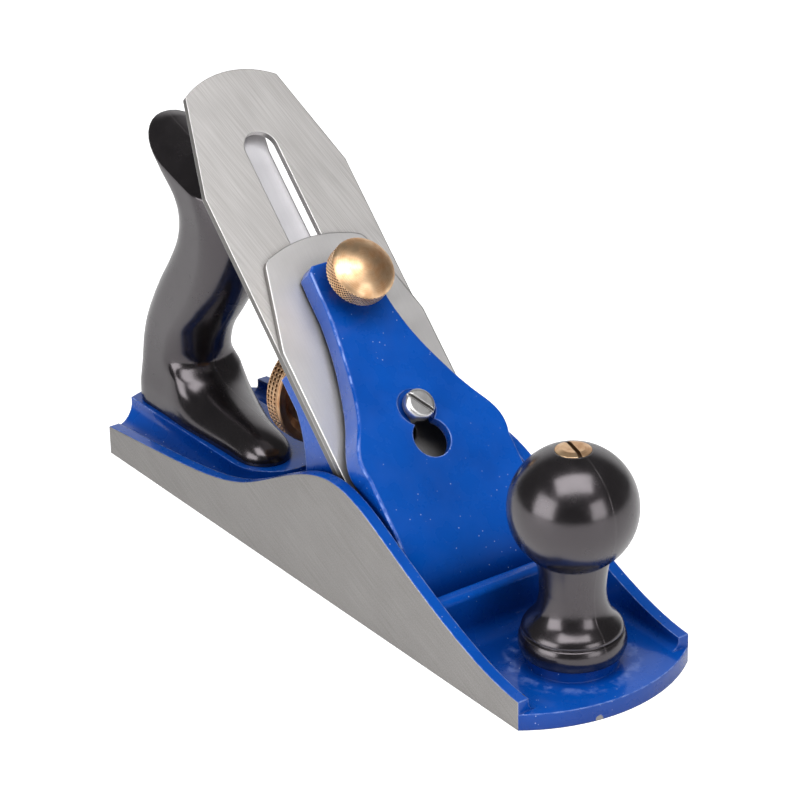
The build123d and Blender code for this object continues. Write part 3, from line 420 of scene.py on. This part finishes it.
# Lever cap screw
# Slotted steel screw in the frog whose head holds the lever cap down; nickel plated and polished.
# The lever cap's key hole passes over this head once the cap is slid up.
NICKEL_DARK = (0.60, 0.59, 0.59, 1)
NICKEL_LIGHT = (0.84, 0.83, 0.83, 1)
ACROSS_HEAD = (0, radians(-45), radians(40))
NICKEL = steel_material("polished_nickel", NICKEL_DARK, NICKEL_LIGHT, 0.36, ACROSS_HEAD,
                        edge_radius=0.0006, marks=0.5)
finish_node("lever_cap_screw", NICKEL)


# Lever cap thumbscrew
# Turned brass screw with a diamond-knurled band and a shallow dome; it presses the cap up against its screw.
# The knurl is rolled in, so its diamonds stand no higher than the blank.
THUMB_UP_BED = 0.1062
THUMB_PLACE = (BLADE_FOOT_X - THUMB_UP_BED * sqrt(0.5), 0, THUMB_UP_BED * sqrt(0.5))
THUMB_RADIUS = 0.0098
THUMB_TEETH, THUMB_PITCH = 52, 0.00125
THUMB_COLUMNS = 18 * THUMB_TEETH
KNURL_DEPTH = 0.0008
BRASS_DARK = (0.62, 0.33, 0.16, 1)
BRASS_LIGHT = (0.92, 0.64, 0.39, 1)
BRASS_BROWN = (0.30, 0.13, 0.055, 1)
# Dark brown for painted shade in hollows, pale brass for painted highlights on edges.
BRASS_SHADE = (0.07, 0.035, 0.015, 1)
BRASS_EDGE_HIGHLIGHT = (0.92, 0.74, 0.50, 1)
TURNING_MARKS = 9000
NO_TURN = (0, 0, 0)


def brass_effect():
    """Turned brass about Z of the place given: colour, roughness and height, with painted shade in the
    hollows and a painted highlight on the edges.
    """
    sockets = [("Place", "Vector"), ("Edge", "Float"), ("Hollow", "Float"), ("Brown", "Float")]
    tree, start, end = effect("turned_brass", sockets, FINISH_SOCKETS)
    place = start.outputs["Place"]
    spot = add(tree, "SeparateXYZ", {0: place}).outputs
    squares = plus(tree, calc(tree, "POWER", spot["X"], 2.0), calc(tree, "POWER", spot["Y"], 2.0))
    across = times(tree, calc(tree, "SQRT", squares), TURNING_MARKS)
    along = times(tree, spot["Z"], TURNING_MARKS)
    rings = noise(tree, add(tree, "CombineXYZ", {0: across, 1: along}).outputs[0], 1, 2)
    tarnish = noise(tree, place, 260, 4)
    tone = plus(tree, times(tree, rings, 0.35), times(tree, tarnish, 0.65))
    colour = mix_colour(tree, ease(tree, tone, 0.3, 0.65), BRASS_DARK, BRASS_LIGHT)
    colour = mix_colour(tree, start.outputs["Brown"], colour, BRASS_BROWN)
    # Painted shade in the hollows and knurl pits.
    colour = mix_colour(tree, times(tree, start.outputs["Hollow"], 0.75), colour, BRASS_SHADE)
    # Painted highlight along the edges.
    colour = mix_colour(tree, times(tree, start.outputs["Edge"], 0.4), colour, BRASS_EDGE_HIGHLIGHT)
    roughness = ease(tree, tarnish, 0.3, 0.7, 0.44, 0.32)
    give(tree, end, Color=colour, Roughness=roughness, Height=rings)
    return tree


BRASS = brass_effect()


def brass_material(name, middle, turn, edge_radius=0.0003, reach=0.003, brown=0.0):
    """Turned brass whose axis passes through middle and lies along Z after the turn."""
    material, tree, shader = new_material(name)
    place = add(tree, "TexCoord").outputs["Object"]
    moved = add(tree, "VectorMath", {0: place, 1: middle}, operation="SUBTRACT").outputs[0]
    own = add(tree, "Mapping", {"Vector": moved, "Rotation": turn}).outputs[0]
    edges = use(tree, EDGES, Radius=edge_radius, Reach=reach)
    # Painted shade in the knurl pits and hollows, from how little open air they have.
    pit_shade = ease(tree, edges["Open"], 0.90, 0.45)
    brass = use(tree, BRASS, Place=own, Edge=edges["Edge"], Hollow=pit_shade, Brown=brown)
    bump = bumped(tree, 0.35, 0.00002, brass["Height"], edges["Normal"])
    feed(tree, shader, Base_Color=brass["Color"], Roughness=brass["Roughness"], Normal=bump)
    shader.inputs["Metallic"].default_value = 1
    return material


def pits(turn, along, teeth, pitch, slant):
    """Depth of a rolled knurl, 0 on its lands and 1 in its pits, in straight rows or slanted to diamonds."""
    one = cos(2 * pi * (turn * teeth + slant * along / pitch))
    two = cos(2 * pi * (along / pitch - slant * turn * teeth))
    return min(1, 1.6 * max(0, one + 0.25) * max(0, two + 0.25))


def finished_mesh(name, work, place, smooth_angle):
    """An object made of the worked faces, smooth up to an angle, put in its place."""
    bmesh.ops.recalc_face_normals(work, faces=work.faces)
    for edge in work.edges:
        if len(edge.link_faces) == 2:
            edge.smooth = edge.calc_face_angle(0) < smooth_angle
    for face in work.faces:
        face.smooth = True
    mesh = bpy.data.meshes.new(name)
    work.to_mesh(mesh)
    work.free()
    piece = bpy.data.objects.new(name, mesh)
    bpy.context.scene.collection.objects.link(piece)
    piece.matrix_world = place
    return piece


def turned_mesh(name, rows, columns, place, smooth_angle):
    """A mesh turned about Z from rows of (height, radius, depth of a knurl or thread), put in its place."""
    work = bmesh.new()
    rings = []
    for height, radius, depth in rows:
        if radius < 1e-6:
            rings.append([work.verts.new((0, 0, height))])
            continue
        ring = []
        for column in range(columns):
            share = column / columns
            reach = radius - (depth(share, height) if depth else 0)
            ring.append(work.verts.new((reach * cos(2 * pi * share), reach * sin(2 * pi * share), height)))
        rings.append(ring)
    for lower, upper in zip(rings, rings[1:]):
        for column in range(columns):
            after = (column + 1) % columns
            corners = [lower[column % len(lower)], lower[after % len(lower)]]
            corners += [upper[after % len(upper)], upper[column % len(upper)]]
            work.faces.new(list(dict.fromkeys(corners)))
    return finished_mesh(name, work, place, smooth_angle)


def plain(*rows):
    """Rows of a turned mesh that carry no knurl or thread."""
    return [(height, radius, None) for height, radius in rows]


def band(start, end, count, radius, depth):
    """Evenly spaced rows of a turned mesh that carry a knurl or thread."""
    return [(start + (end - start) * step / count, radius, depth) for step in range(count + 1)]


def thumb_knurl(turn, along):
    """Depth of the thumbscrew's diamond knurl."""
    return KNURL_DEPTH * pits(turn, along, THUMB_TEETH, THUMB_PITCH, 1)


def thumb_rows():
    """Rows of the thumbscrew from its tip, through neck and knurl, to the top of the dome."""
    tip, neck, low, high, top = 0.0024, 0.01035, 0.0162, 0.0217, 0.0244
    stem_radius, neck_radius, rim = 0.004, 0.0045, THUMB_RADIUS - 0.0005
    rows = plain((tip, 0), (tip, stem_radius - 0.001), (tip + 0.001, stem_radius), (neck, stem_radius))
    rows += plain((neck, neck_radius), (low, neck_radius), (low, rim), (low + 0.0004, THUMB_RADIUS - 0.0001))
    rows += band(low + 0.0005, high - 0.0005, 44, THUMB_RADIUS, thumb_knurl)
    rows += plain((high - 0.0004, THUMB_RADIUS - 0.0001), (high, rim))
    rise_of_dome = top - high
    ball = (rim ** 2 + rise_of_dome ** 2) / (2 * rise_of_dome)
    dome_steps = 14
    for step in range(1, dome_steps + 1):
        radius = rim * (1 - step / dome_steps)
        rows += plain((top - ball + sqrt(ball ** 2 - radius ** 2), radius))
    return rows


thumb_place = Matrix.Translation(THUMB_PLACE) @ Matrix.Rotation(radians(45), 4, "Y")
thumbscrew = turned_mesh("knurled_thumbscrew", thumb_rows(), THUMB_COLUMNS, thumb_place, radians(40))
THUMB_BRASS = brass_material("thumbscrew_brass", (0, 0, 0), NO_TURN, edge_radius=0.0002, reach=0.0012)
thumbscrew.data.materials.append(THUMB_BRASS)
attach(thumbscrew, "thumbscrew")
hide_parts("lever_cap_thumbscrew")


# Depth stud, yoke and pin
# The stud is screwed into the back of the frog, and the forked yoke turns on a pin through the frog's web.
# The yoke's fork runs in the groove of the depth nut and its finger in the cap iron; bare steel.
STUD_RADIUS = 0.003
STUD_PITCH = 0.0008
STUD_ENDS = (-0.0345, -0.0010)
STUD_LEAD = 0.0006
STUD_COLUMNS = 48
THREAD_DEPTH = 0.0004
ADJUSTER_AXIS = Matrix.Translation((0, 0, 0.0426)) @ Matrix.Rotation(radians(90), 4, "Y")


def stud_thread(turn, along):
    """Depth of the stud's thread, a single start with pointed crests."""
    return THREAD_DEPTH * abs(2 * ((turn + along / STUD_PITCH) % 1) - 1)


def stud_rows():
    """Rows of the threaded stud along X, with a small lead at both ends."""
    first, last = STUD_ENDS
    rows = plain((first, 0), (first, STUD_RADIUS - STUD_LEAD))
    rows += band(first + STUD_LEAD, last - STUD_LEAD, 300, STUD_RADIUS, stud_thread)
    return rows + plain((last, STUD_RADIUS - STUD_LEAD), (last, 0))


stud = turned_mesh("threaded_depth_stud", stud_rows(), STUD_COLUMNS, ADJUSTER_AXIS, radians(35))
stud.data.materials.append(PLAIN_STEEL)
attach(stud, "frog_assembly")
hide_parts("depth_stud")
for part in ("depth_yoke", "yoke_pin"):
    finish_node(part, PLAIN_STEEL)


# Depth nut
# Turned brass wheel on the stud, with rows of square pits rolled into its rim and a dish in its front face.
# Turning it pushes the yoke, which moves the irons down or up.
NUT_RADIUS = 0.017
NUT_REAR, NUT_FRONT = -0.0321, -0.0255
NUT_TEETH, NUT_PITCH = 72, 0.00165
NUT_COLUMNS = 11 * NUT_TEETH


def nut_knurl(turn, along):
    """Depth of the depth nut's square pits."""
    return KNURL_DEPTH * pits(turn, along - NUT_REAR - 0.0014, NUT_TEETH, NUT_PITCH, 0)


def nut_rows():
    """Rows of the depth nut along X: back through the bore, over the rim and the dish, out along the hub."""
    rear, front, shoulder, tip = NUT_REAR, NUT_FRONT, NUT_RADIUS - 0.0001, -0.0126
    rim, bore, hub, groove, collar = NUT_RADIUS - 0.0026, 0.00306, 0.008, 0.0045, 0.0062
    groove_start, groove_end = -0.0202, -0.0144
    rows = plain((tip, bore), (rear + 0.0012, bore), (rear + 0.0012, rim - 0.001), (rear, rim))
    rows += plain((rear, NUT_RADIUS - 0.0006), (rear + 0.0005, shoulder))
    rows += band(rear + 0.0006, front - 0.0011, 40, NUT_RADIUS, nut_knurl)
    rows += plain((front - 0.0011, shoulder), (front - 0.0005, shoulder))
    rows += plain((front, NUT_RADIUS - 0.0006), (front, rim), (front - 0.0028, rim - 0.0024))
    rows += plain((front - 0.0028, hub), (groove_start, hub), (groove_start, groove), (groove_end, groove))
    return rows + plain((groove_end, collar), (tip, collar), (tip, bore))


depth_nut = turned_mesh("knurled_depth_nut", nut_rows(), NUT_COLUMNS, ADJUSTER_AXIS, radians(40))
NUT_BRASS = brass_material("depth_nut_brass", (0, 0, 0), NO_TURN, reach=0.0012, brown=0.5)
depth_nut.data.materials.append(NUT_BRASS)
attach(depth_nut, "depth_wheel")
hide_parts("depth_nut")


# Lateral lever
# Pressed steel lever riveted to the top of the frog; a roller on its lower end sits in the iron's slot.
# Lever, rivet, roller and pin are nickel plated.
PLATE_DARK = (0.72, 0.71, 0.74, 1)
PLATE_LIGHT = (0.84, 0.83, 0.86, 1)
SATIN_PLATE = steel_material("satin_nickel", PLATE_DARK, PLATE_LIGHT, 0.50, ALONG_BED,
                             edge_radius=0.0009, marks=0.2)
for part in ("lateral_lever", "lateral_lever_rivet", "lateral_roller", "lateral_roller_pin"):
    finish_node(part, SATIN_PLATE)


# Front knob
# Moulded black plastic ball on a waist and a grooved foot ring, held to the boss by a rod and a brass nut.
# The mould's parting line runs up two sides.
PLASTIC_BLACK = (0.004, 0.0035, 0.004, 1)
PLASTIC_GREY = (0.009, 0.008, 0.0085, 1)
PLASTIC_DUST = (0.30, 0.28, 0.27, 1)
PLASTIC_SEAM = (0.12, 0.11, 0.11, 1)
# Grey for the painted highlight along edges.
PLASTIC_EDGE_HIGHLIGHT = (0.20, 0.185, 0.19, 1)
PLASTIC_SHEEN = (1.0, 0.90, 0.96, 1)


def plastic_effect():
    """Moulded plastic with a seam in the plane Y = 0: colour, roughness and height, with a painted highlight
    along the edges.
    """
    tree, start, end = effect("moulded_plastic", [("Edge", "Float")], FINISH_SOCKETS)
    place = add(tree, "TexCoord").outputs["Object"]
    flow = noise(tree, place, 45, 4)
    colour = mix_colour(tree, ease(tree, flow, 0.3, 0.7), PLASTIC_BLACK, PLASTIC_GREY)
    dust = ease(tree, scatter(tree, place, 520), 0.12, 0.04)
    dust = times(tree, dust, ease(tree, noise(tree, place, 160, 2), 0.58, 0.7))
    colour = mix_colour(tree, times(tree, dust, 0.2), colour, PLASTIC_DUST)
    across = calc(tree, "ABSOLUTE", add(tree, "SeparateXYZ", {0: place}).outputs["Y"])
    seam = ease(tree, across, 0.00026, 0.00008)
    colour = mix_colour(tree, times(tree, seam, 0.15), colour, PLASTIC_SEAM)
    # Painted highlight along the edges.
    colour = mix_colour(tree, times(tree, start.outputs["Edge"], 0.5), colour, PLASTIC_EDGE_HIGHLIGHT)
    matt = ease(tree, noise(tree, place, 140, 4), 0.3, 0.7, 0.19, 0.28)
    roughness = plus(tree, matt, times(tree, dust, 0.15))
    ripple = times(tree, noise(tree, place, 240, 2), 0.9)
    height = plus(tree, ripple, times(tree, seam, 1.3))
    height = plus(tree, height, times(tree, dust, 0.4))
    give(tree, end, Color=colour, Roughness=roughness, Height=height)
    return tree


PLASTIC = plastic_effect()


def plastic_material(name):
    """Moulded plastic, glossy from the mould."""
    material, tree, shader = new_material(name)
    edges = use(tree, EDGES, Radius=0.0006, Reach=0.004)
    plastic = use(tree, PLASTIC, Edge=edges["Edge"])
    bump = bumped(tree, 0.5, 0.00003, plastic["Height"], edges["Normal"])
    feed(tree, shader, Base_Color=plastic["Color"], Roughness=plastic["Roughness"], Normal=bump)
    shader.inputs["IOR"].default_value = 1.75
    shader.inputs["Coat Weight"].default_value = 0.25
    shader.inputs["Coat Roughness"].default_value = 0.15
    shader.inputs["Specular Tint"].default_value = PLASTIC_SHEEN
    return material


finish_node("front_knob", plastic_material("knob_plastic"))
finish_node("knob_rod", PLAIN_STEEL)
finish_node("knob_nut", brass_material("knob_nut_brass", KNOB_PLACE, NO_TURN))


# Tote
# Moulded black plastic handle on the pad at the back of the sole, held by a long rod and a sunk brass nut.
# Its foot tapers to a rounded nose that stands a little to the right; the parting line runs round the middle.
# Each level gives, in millimetres: height, rear, front, half thickness and radius of the rear corners.
TOTE_LEVELS = [(11.6, -116.6, -90.0, 14.1, 9.5), (15.0, -116.8, -90.0, 14.1, 9.5),
               (18.5, -116.8, -90.0, 13.9, 9.5), (24.0, -116.8, -88.2, 13.0, 9.5),
               (28.0, -116.8, -88.2, 12.5, 9.5), (33.0, -116.4, -87.8, 12.1, 9.5),
               (40.0, -114.2, -84.8, 11.9, 9.5), (48.0, -110.0, -78.4, 11.8, 9.5),
               (56.5, -104.6, -72.0, 11.7, 9.5), (65.0, -98.4, -67.5, 11.7, 9.5),
               (73.5, -93.3, -64.5, 11.8, 9.5), (82.0, -91.5, -63.5, 12.0, 9.5),
               (89.0, -93.4, -64.8, 12.5, 9.5), (96.0, -100.5, -67.5, 13.0, 10.5),
               (103.0, -107.0, -71.0, 13.2, 11.5), (110.0, -111.0, -75.0, 13.2, 11.5)]
GRIP_FRONT_LENGTH = 11.0
# Place along the foot and height of its ridge above the foot's upright rim.
FOOT_RIDGE = [(-110.0, 75.0), (-104.0, 52.0), (-98.8, 37.0), (-95.0, 30.0), (-92.0, 24.5), (-90.0, 20.8),
              (-87.8, 17.0), (-85.5, 14.0), (-82.0, 11.6), (-76.0, 9.9), (-69.0, 8.9), (-62.0, 8.2),
              (-55.0, 7.2), (-50.0, 5.6), (-47.0, 3.7), (-45.4, 1.8), (-44.6, 0.0)]
FOOT_RIM = 12.5
FOOT_START = -98.0
FOOT_WIDE, FOOT_SLIM = 16.0, 8.8
FOOT_TAPER = (-104.0, -52.0)
FOOT_BLEND_POWER = 24
FOOT_TO_GRIP = (25.0, 31.0)
NOSE_START, NOSE_LENGTH = -55.0, 10.4
NOSE_SHIFT = 4.7
SHIFT_ALONG = (FOOT_START, -50.0)
SHIFT_UP = (20.0, 32.0)
TOTE_TOP = ((-102.0, 104.9), (-69.6, 94.4))
TOTE_CROWN = 26.0
TOTE_RIM = 0.7
TOTE_FREE_FROM = 36.0
NUT_SEAT = (-77.7, 5.1)
NUT_SEAT_SINK = (-2.2, -7.7)
TOTE_NUT_PLACE = (-0.078, 0, 0.096)
TOTE_NUT_TURN = (0, radians(-15.6), 0)
BACK_STEPS, CORNER_STEPS, FLANK_STEPS, FRONT_STEPS = 3, 9, 6, 28
FOOT_STEPS, GRIP_STEPS, RIM_STEPS, TOP_STEPS = 60, 44, 3, 8


def smooth(table, at):
    """Values of a table at a place, on a smooth curve through its rows."""
    last = len(table) - 2
    step = max(0, min(last, sum(row[0] <= at for row in table) - 1))
    low, high = table[step], table[step + 1]
    before, after = table[max(0, step - 1)], table[min(last + 1, step + 2)]
    span = high[0] - low[0]
    share = (at - low[0]) / span
    values = []
    for a, b, c, d in zip(before[1:], low[1:], high[1:], after[1:]):
        leave = span * (c - a) / (high[0] - before[0])
        arrive = span * (d - b) / (after[0] - low[0])
        eased = share ** 2 * (3 - 2 * share)
        values.append(b + (c - b) * eased + share * (1 - share) * (leave * (1 - share) - arrive * share))
    return values


def rise(value, low, high):
    """0 below low, 1 above high and a smooth rise between."""
    share = min(1, max(0, (value - low) / (high - low)))
    return share ** 2 * (3 - 2 * share)


def last_true(low, high, test):
    """Last place from low towards high where the test holds, found by halving."""
    for _ in range(24):
        middle = (low + high) / 2
        if test(middle):
            low = middle
        else:
            high = middle
    return low


def foot_half(x, height, limit):
    """Half thickness of the foot: a tapering dome that ends in a ball, never wider than the limit."""
    wide = FOOT_WIDE + (FOOT_SLIM - FOOT_WIDE) * rise(x, *FOOT_TAPER)
    wide *= sqrt(max(0, 1 - (max(0, x - NOSE_START) / NOSE_LENGTH) ** 2))
    up = max(0, height - FOOT_RIM) / max(0.01, smooth(FOOT_RIDGE, x)[0])
    dome = max(0.0001, wide * sqrt(max(0, 1 - up ** 2)))
    return (dome ** -FOOT_BLEND_POWER + limit ** -FOOT_BLEND_POWER) ** (-1 / FOOT_BLEND_POWER)


def foot_front(height):
    """Front end of the foot at a height, where its ridge comes down to it."""
    first, last = FOOT_RIDGE[0][0], FOOT_RIDGE[-1][0]
    return last_true(first, last, lambda x: smooth(FOOT_RIDGE, x)[0] > height - FOOT_RIM)


def tote_outline(height):
    """Points round one level: from the middle of the back along the right flank to the front, then back."""
    rear, front, half, corner = smooth(TOTE_LEVELS, height)
    grip = rise(height, *FOOT_TO_GRIP)
    tip = foot_front(height) if grip < 1 else front
    flank = [(rear, (half - corner) * step / BACK_STEPS) for step in range(BACK_STEPS)]
    for step in range(CORNER_STEPS + 1):
        turn = pi / 2 * step / CORNER_STEPS
        flank.append((rear + corner * (1 - cos(turn)), half - corner + corner * sin(turn)))
    start = FOOT_START + (front - GRIP_FRONT_LENGTH - FOOT_START) * grip
    for step in range(1, FLANK_STEPS):
        flank.append((rear + corner + (start - rear - corner) * step / FLANK_STEPS, half))
    for step in range(FRONT_STEPS + 1):
        remaining = (1 - step / FRONT_STEPS) ** 2
        x = tip - (tip - FOOT_START) * remaining
        y = foot_half(x, height, half) if grip < 1 and step < FRONT_STEPS else 0
        x_change = (front - GRIP_FRONT_LENGTH * remaining - x) * grip
        y_change = (half * sqrt(remaining * (2 - remaining)) - y) * grip
        flank.append((x + x_change, y + y_change))
    outline = [(x, -y) for x, y in flank] + flank[-2:0:-1]
    shift = NOSE_SHIFT * (1 - rise(height, *SHIFT_UP))
    return [(x, y - shift * rise(x, *SHIFT_ALONG)) for x, y in outline]


def tote_cut(x, y):
    """Height of the sloping, slightly crowned top."""
    (x0, z0), (x1, z1) = TOTE_TOP
    return z0 + (x - x0) * (z1 - z0) / (x1 - x0) - y ** 2 / (2 * TOTE_CROWN)


def tote_flank(column, foot_outlines):
    """Points up one column of the flank, close together over the foot, to just below the top's rim."""
    highest = TOTE_LEVELS[-1][0]
    top = last_true(TOTE_FREE_FROM, highest, lambda height: height < tote_cut(*tote_outline(height)[column]))
    points = [(*outline[column], height) for height, outline in foot_outlines]
    for step in range(1, GRIP_STEPS + 1):
        height = TOTE_FREE_FROM + (top - TOTE_RIM - TOTE_FREE_FROM) * step / GRIP_STEPS
        points.append((*tote_outline(height)[column], height))
    return points


def tote_column(column, foot_outlines):
    """Points of one column: up the flank, round the rim, over the top and down into the nut's seat."""
    points = tote_flank(column, foot_outlines)
    x, y, z = points[-1]
    seat, radius = NUT_SEAT
    across = sqrt((x - seat) ** 2 + y ** 2)
    toward = ((seat - x) / across, -y / across)
    for step in range(1, RIM_STEPS + 1):
        turn = pi / 2 * step / RIM_STEPS
        inset = TOTE_RIM * (1 - cos(turn))
        points.append((x + toward[0] * inset, y + toward[1] * inset, z + TOTE_RIM * sin(turn)))
    rim_drop = points[-1][2] - tote_cut(*points[-1][:2])
    for step in range(1, TOP_STEPS + 1):
        inset = TOTE_RIM + (across - radius - TOTE_RIM) * step / TOP_STEPS
        spot = (x + toward[0] * inset, y + toward[1] * inset)
        points.append((*spot, tote_cut(*spot) + rim_drop * (1 - step / TOP_STEPS)))
    x, y, z = points[-1]
    points.append((x + NUT_SEAT_SINK[0], y, z + NUT_SEAT_SINK[1]))
    return points


def tote_mesh():
    """The tote's columns joined by faces, closed at its foot and at the bottom of the nut's seat."""
    lowest = TOTE_LEVELS[0][0]
    heights = [lowest + (TOTE_FREE_FROM - lowest) * step / FOOT_STEPS for step in range(FOOT_STEPS + 1)]
    foot_outlines = [(height, tote_outline(height)) for height in heights]
    columns = [tote_column(column, foot_outlines) for column in range(len(foot_outlines[0][1]))]
    work = bmesh.new()
    grid = [[work.verts.new([size / 1000 for size in point]) for point in points] for points in columns]
    for here, beside in zip(grid, grid[1:] + grid[:1]):
        for step in range(len(here) - 1):
            work.faces.new((here[step], beside[step], beside[step + 1], here[step + 1]))
    work.faces.new([points[0] for points in reversed(grid)])
    work.faces.new([points[-1] for points in grid])
    return finished_mesh("moulded_tote", work, Matrix.Identity(4), radians(50))


tote = tote_mesh()
tote.data.materials.append(plastic_material("tote_plastic"))
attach(tote, "sole")
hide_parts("tote")
finish_node("tote_rod", PLAIN_STEEL)
finish_node("tote_nut", brass_material("tote_nut_brass", TOTE_NUT_PLACE, TOTE_NUT_TURN))


# Studio
# White floor and backdrop, one long soft light overhead and two upright soft panels: at the camera's left
# and before the toe. The camera stands to the front right of the toe, a little above.
WHITE = (1, 1, 1, 1)
FLOOR_WHITE = (0.86, 0.86, 0.86, 1)
FLOOR_HALF = 4
FLOOR_DROP = 0.0002
FLOOR_SEEN, FLOOR_MIRRORED = 0.8, 0.25
SURROUND_LEVEL = 0.22
CAMERA_AT = Vector((0.69056, -0.48133, 0.45779))
CAMERA_YAW, CAMERA_PITCH, CAMERA_ROLL = radians(144.607), radians(25.897), radians(-1.228)
CAMERA_SENSOR, CAMERA_LENS = 36, 144
BACKDROP = (-0.815, 0.580, 0.0)


def floor_material():
    """White floor that keeps soft shadows."""
    material, tree, shader = new_material("studio_floor")
    shader.inputs["Base Color"].default_value = FLOOR_WHITE
    shader.inputs["Roughness"].default_value = 0.7
    rays = add(tree, "LightPath").outputs
    mirrored = times(tree, rays["Is Glossy Ray"], FLOOR_MIRRORED)
    seen = calc(tree, "MAXIMUM", times(tree, rays["Is Camera Ray"], FLOOR_SEEN), mirrored)
    glow = add(tree, "Emission", {"Color": WHITE, "Strength": seen}).outputs[0]
    both = add(tree, "AddShader", {0: shader.outputs[0], 1: glow}).outputs[0]
    tree.links.new(both, tree.nodes["Material Output"].inputs["Surface"])
    return material


def soft_light(name, at, aim, width, depth, power):
    """A rectangular soft light at a place, aimed at a point."""
    lamp = bpy.data.lights.new(name, "AREA")
    lamp.shape = "RECTANGLE"
    lamp.size, lamp.size_y, lamp.energy = width, depth, power
    light = bpy.data.objects.new(name, lamp)
    bpy.context.scene.collection.objects.link(light)
    light.location = at
    light.rotation_euler = (Vector(aim) - Vector(at)).to_track_quat("-Z", "Y").to_euler()


floor_mesh = bpy.data.meshes.new("studio_floor")
floor_corners = [(x * FLOOR_HALF, y * FLOOR_HALF, 0) for x, y in ((-1, -1), (1, -1), (1, 1), (-1, 1))]
floor_mesh.from_pydata(floor_corners, [], [(0, 1, 2, 3)])
floor_mesh.materials.append(floor_material())
floor = bpy.data.objects.new("studio_floor", floor_mesh)
bpy.context.scene.collection.objects.link(floor)
floor.location.z = -FLOOR_DROP

world = bpy.data.worlds.new("studio")
world.use_nodes = True
bpy.context.scene.world = world
sky = world.node_tree
surround = sky.nodes["Background"]
surround.inputs["Color"].default_value = WHITE
rays = add(sky, "LightPath").outputs
white = calc(sky, "MAXIMUM", rays["Is Camera Ray"], rays["Is Transmission Ray"])
behind = dot(sky, add(sky, "TexCoord").outputs["Generated"], BACKDROP)
mirrored = ease(sky, behind, 0.60, 0.90, 0.10, 0.90)
level = mix_value(sky, rays["Is Glossy Ray"], SURROUND_LEVEL, mirrored)
sky.links.new(mix_value(sky, white, level, 1.0), surround.inputs["Strength"])

soft_light("overhead_light", (0.38, -0.22, 0.96), (0, 0, 0.05), 1.10, 0.60, 9.5)
soft_light("left_panel", (0.05, -1.00, 0.36), (0, 0, 0.08), 0.70, 0.60, 5.6)
soft_light("front_panel", (1.05, 0.12, 0.32), (0, 0, 0.08), 0.45, 0.50, 2.2)

ahead = Vector((cos(CAMERA_YAW) * cos(CAMERA_PITCH), sin(CAMERA_YAW) * cos(CAMERA_PITCH), -sin(CAMERA_PITCH)))
sideways = ahead.cross(Vector((0, 0, 1))).normalized()
upright = sideways.cross(ahead)
camera_x = sideways * cos(CAMERA_ROLL) + upright * sin(CAMERA_ROLL)
camera_y = upright * cos(CAMERA_ROLL) - sideways * sin(CAMERA_ROLL)
camera_axes = Matrix((camera_x, camera_y, -ahead)).transposed()
lens = bpy.data.cameras.new("camera")
lens.sensor_width, lens.lens = CAMERA_SENSOR, CAMERA_LENS
camera = bpy.data.objects.new("camera", lens)
bpy.context.scene.collection.objects.link(camera)
camera.matrix_world = Matrix.Translation(CAMERA_AT) @ camera_axes.to_4x4()
bpy.context.scene.camera = camera
bpy.context.scene.view_settings.view_transform = "Standard"
